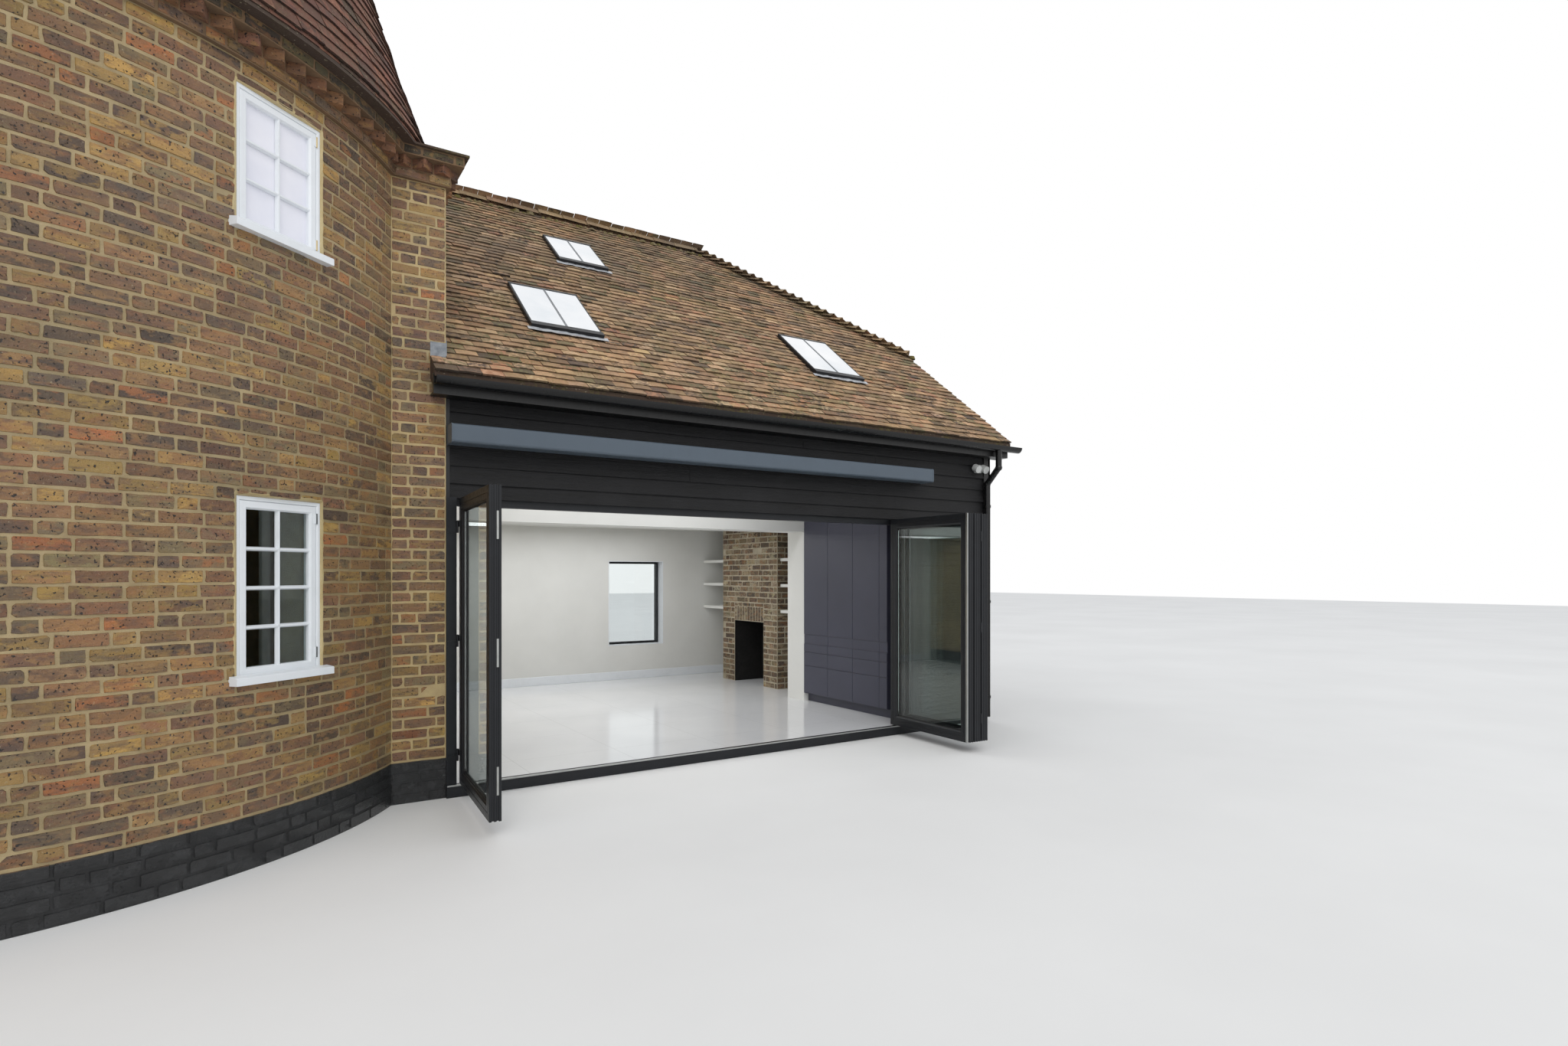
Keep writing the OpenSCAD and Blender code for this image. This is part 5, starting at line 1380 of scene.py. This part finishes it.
def room_fittings():
    """Cupboard fronts, skirting, fireplace lining and the white reveal of the rear window."""
    low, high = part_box("fitted_cupboards")
    foot = floor_z + 0.1
    face, gap = low.x, 0.0025
    columns = [high.y, -0.022, -0.50, -0.971, low.y]
    rows = [foot + 0.004, 0.538, 0.707, 0.810, 0.925, high.z - 0.004]
    fronts = []
    for y1, y0 in zip(columns, columns[1:]):
        for z0, z1 in zip(rows, rows[1:]):
            fronts.append(((face - (0.002 if z0 == 0.810 else 0.009), y0 + gap, z0 + gap),
                           (face + 0.004, y1 - gap, z1 - gap)))
    boxes("cupboard_fronts", fronts, "cupboard", bevel=0.0012)

    breast_low, breast_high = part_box("chimney_breast")
    inner_y, inner_x = wing_rear - 0.28, wing_x1 - 0.28
    t, top = 0.018, floor_z + 0.12
    skirt = [((wing_x0 + 0.25, inner_y - t, floor_z), (inner_x, inner_y, top)),
             ((inner_x - t, breast_high.y, floor_z), (inner_x, inner_y, top)),
             ((inner_x - t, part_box("portal")[1].y, floor_z), (inner_x, breast_low.y, top))]
    boxes("skirting", skirt, "white_paint", bevel=0.004)

    x, middle = breast_low.x, (breast_low.y + breast_high.y) / 2
    half, head, back, lining = 0.398, floor_z + 0.898, 0.478, 0.006
    fire = [((x + 0.004, middle - half, floor_z), (x + back, middle - half + lining, head)),
            ((x + 0.004, middle + half - lining, floor_z), (x + back, middle + half, head)),
            ((x + back - lining, middle - half, floor_z), (x + back, middle + half, head)),
            ((x + 0.004, middle - half, head - lining), (x + back, middle + half, head))]
    boxes("fireplace_lining", fire, "soot", bevel=0.001)

    low, high = rear_window_low, rear_window_high
    reveal = Shape((0, inner_y - 0.002, 0), (1, 0, 0), (0, 1, 0))
    depth = low.y - inner_y + 0.001
    reveal.hoop(low.x, high.x, low.z, high.z, [(0, 0), (0.010, 0), (0.010, depth), (0, depth)])
    reveal.make("rear_window_reveal", "white_paint", bevel=0.001)


def cassette_caps():
    """End caps of the awning's cassette."""
    low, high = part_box("awning_cassette")
    r = 0.02
    front, back = low.y - 0.002, high.y - 0.025
    outline = [(low.z - 0.002, back), (low.z - 0.002, front + r), (low.z + 0.004, front + 0.006),
               (low.z + r, front), (high.z - r, front), (high.z - 0.004, front + 0.006),
               (high.z + 0.002, front + r), (high.z + 0.002, back)]
    caps = Shape((0, 0, 0), (1, 0, 0), (0, 1, 0))
    for x in (low.x - 0.004, high.x - 0.008):
        caps.bar(outline, x, x + 0.012)
    caps.make("awning_end_caps", "cassette", bevel=0.001)


# Camera, lamps and stage

def camera():
    """The photo's camera, as solved from the front wall's vanishing points."""
    data = bpy.data.cameras.new("camera")
    data.lens, data.sensor_width = 18.98, 36
    data.shift_y = 0.0327
    data.clip_end = 300
    obj = placed("camera", data)
    obj.location = (1.64, -7.98, 1.67)
    obj.rotation_euler = (radians(90), 0, radians(-33.66))
    bpy.context.scene.camera = obj


def area_lamp(name, place, target, size, power, tone):
    data = bpy.data.lights.new(name, "AREA")
    data.shape, data.size, data.size_y = "RECTANGLE", *size
    data.energy, data.color = power, tone
    obj = placed(name, data)
    obj.location = place
    obj.rotation_euler = (Vector(target) - Vector(place)).to_track_quat("-Z", "Y").to_euler()


def light_and_stage():
    """A white sky for the camera, a duller one that lights the house, three lamps and a pale floor."""
    world = bpy.data.worlds.new("overcast")
    bpy.context.scene.world = world
    world.use_nodes = True
    tree = world.node_tree
    tree.nodes.clear()
    kinds = ("OutputWorld", "Background", "Background", "LightPath", "MixShader", "Math", "Math")
    out, sky, white, path, mix, first, second = (tree.nodes.new("ShaderNode" + kind) for kind in kinds)
    sky.inputs[0].default_value, sky.inputs[1].default_value = (0.94, 0.96, 0.99, 1), 0.76
    white.inputs[0].default_value, white.inputs[1].default_value = (1, 1, 1, 1), 1.0
    first.operation = second.operation = "MAXIMUM"
    rays = [path.outputs[f"Is {kind} Ray"] for kind in ("Camera", "Glossy", "Transmission")]
    for source, socket in (
            (rays[0], first.inputs[0]), (rays[1], first.inputs[1]), (first.outputs[0], second.inputs[0]),
            (rays[2], second.inputs[1]), (second.outputs[0], mix.inputs[0]), (sky.outputs[0], mix.inputs[1]),
            (white.outputs[0], mix.inputs[2]), (mix.outputs[0], out.inputs[0])):
        tree.links.new(source, socket)

    area_lamp("key", (-9, -38, 31), (3, 0, 3), (24, 24), 6600, (1.0, 0.98, 0.95))
    area_lamp("room_lamp", (5.2, 2.2, 2.30), (5.2, 2.2, 0), (3.6, 2.0), 46, (0.97, 0.98, 1.0))
    area_lamp("front_room_lamp", (5.0, -0.3, 2.95), (5.0, -0.3, 0), (3.4, 0.6), 28, (0.97, 0.98, 1.0))

    floor = Graph("pale_floor", Roughness=0.9)
    floor.set(Base_Color=floor.mix(floor.scale(floor.noise(0.4), 0.3, 0.7), (248, 248, 247), (242, 242, 241)))
    size = 60
    mesh = bpy.data.meshes.new("stage_floor")
    corners = [(-size, -size, 0), (size, -size, 0), (size, size, 0), (-size, size, 0)]
    mesh.from_pydata(corners, [], [(0, 1, 2, 3)])
    mesh.materials.append(floor.material)
    placed("stage_floor", mesh)


camera()
light_and_stage()
bare_roof = linear((70, 54, 44))
for node in ("cone_roof", "roof_front_slope", "roof_rear_slope", "roof_half_hip", "pier_cap"):
    for layer_name, layer_tone in (("tint", bare_roof), ("tint2", bare_roof), ("shade", (1, 1, 1))):
        paint_layer(cad_nodes[node].data, layer_name, layer_tone)
for build in (roundel_bricks, pier_bricks, party_wall_bricks, chimney_bricks, window_fillets, casements,
              cornice_bricks, cone_tiles, wing_tiles, ridge_and_hips, moss_beds, boards, trim, cowl_boards,
              rooflight_trims, doors, threshold, room_fittings, cassette_caps):
    build()

bpy.context.scene.view_settings.view_transform = "Standard"
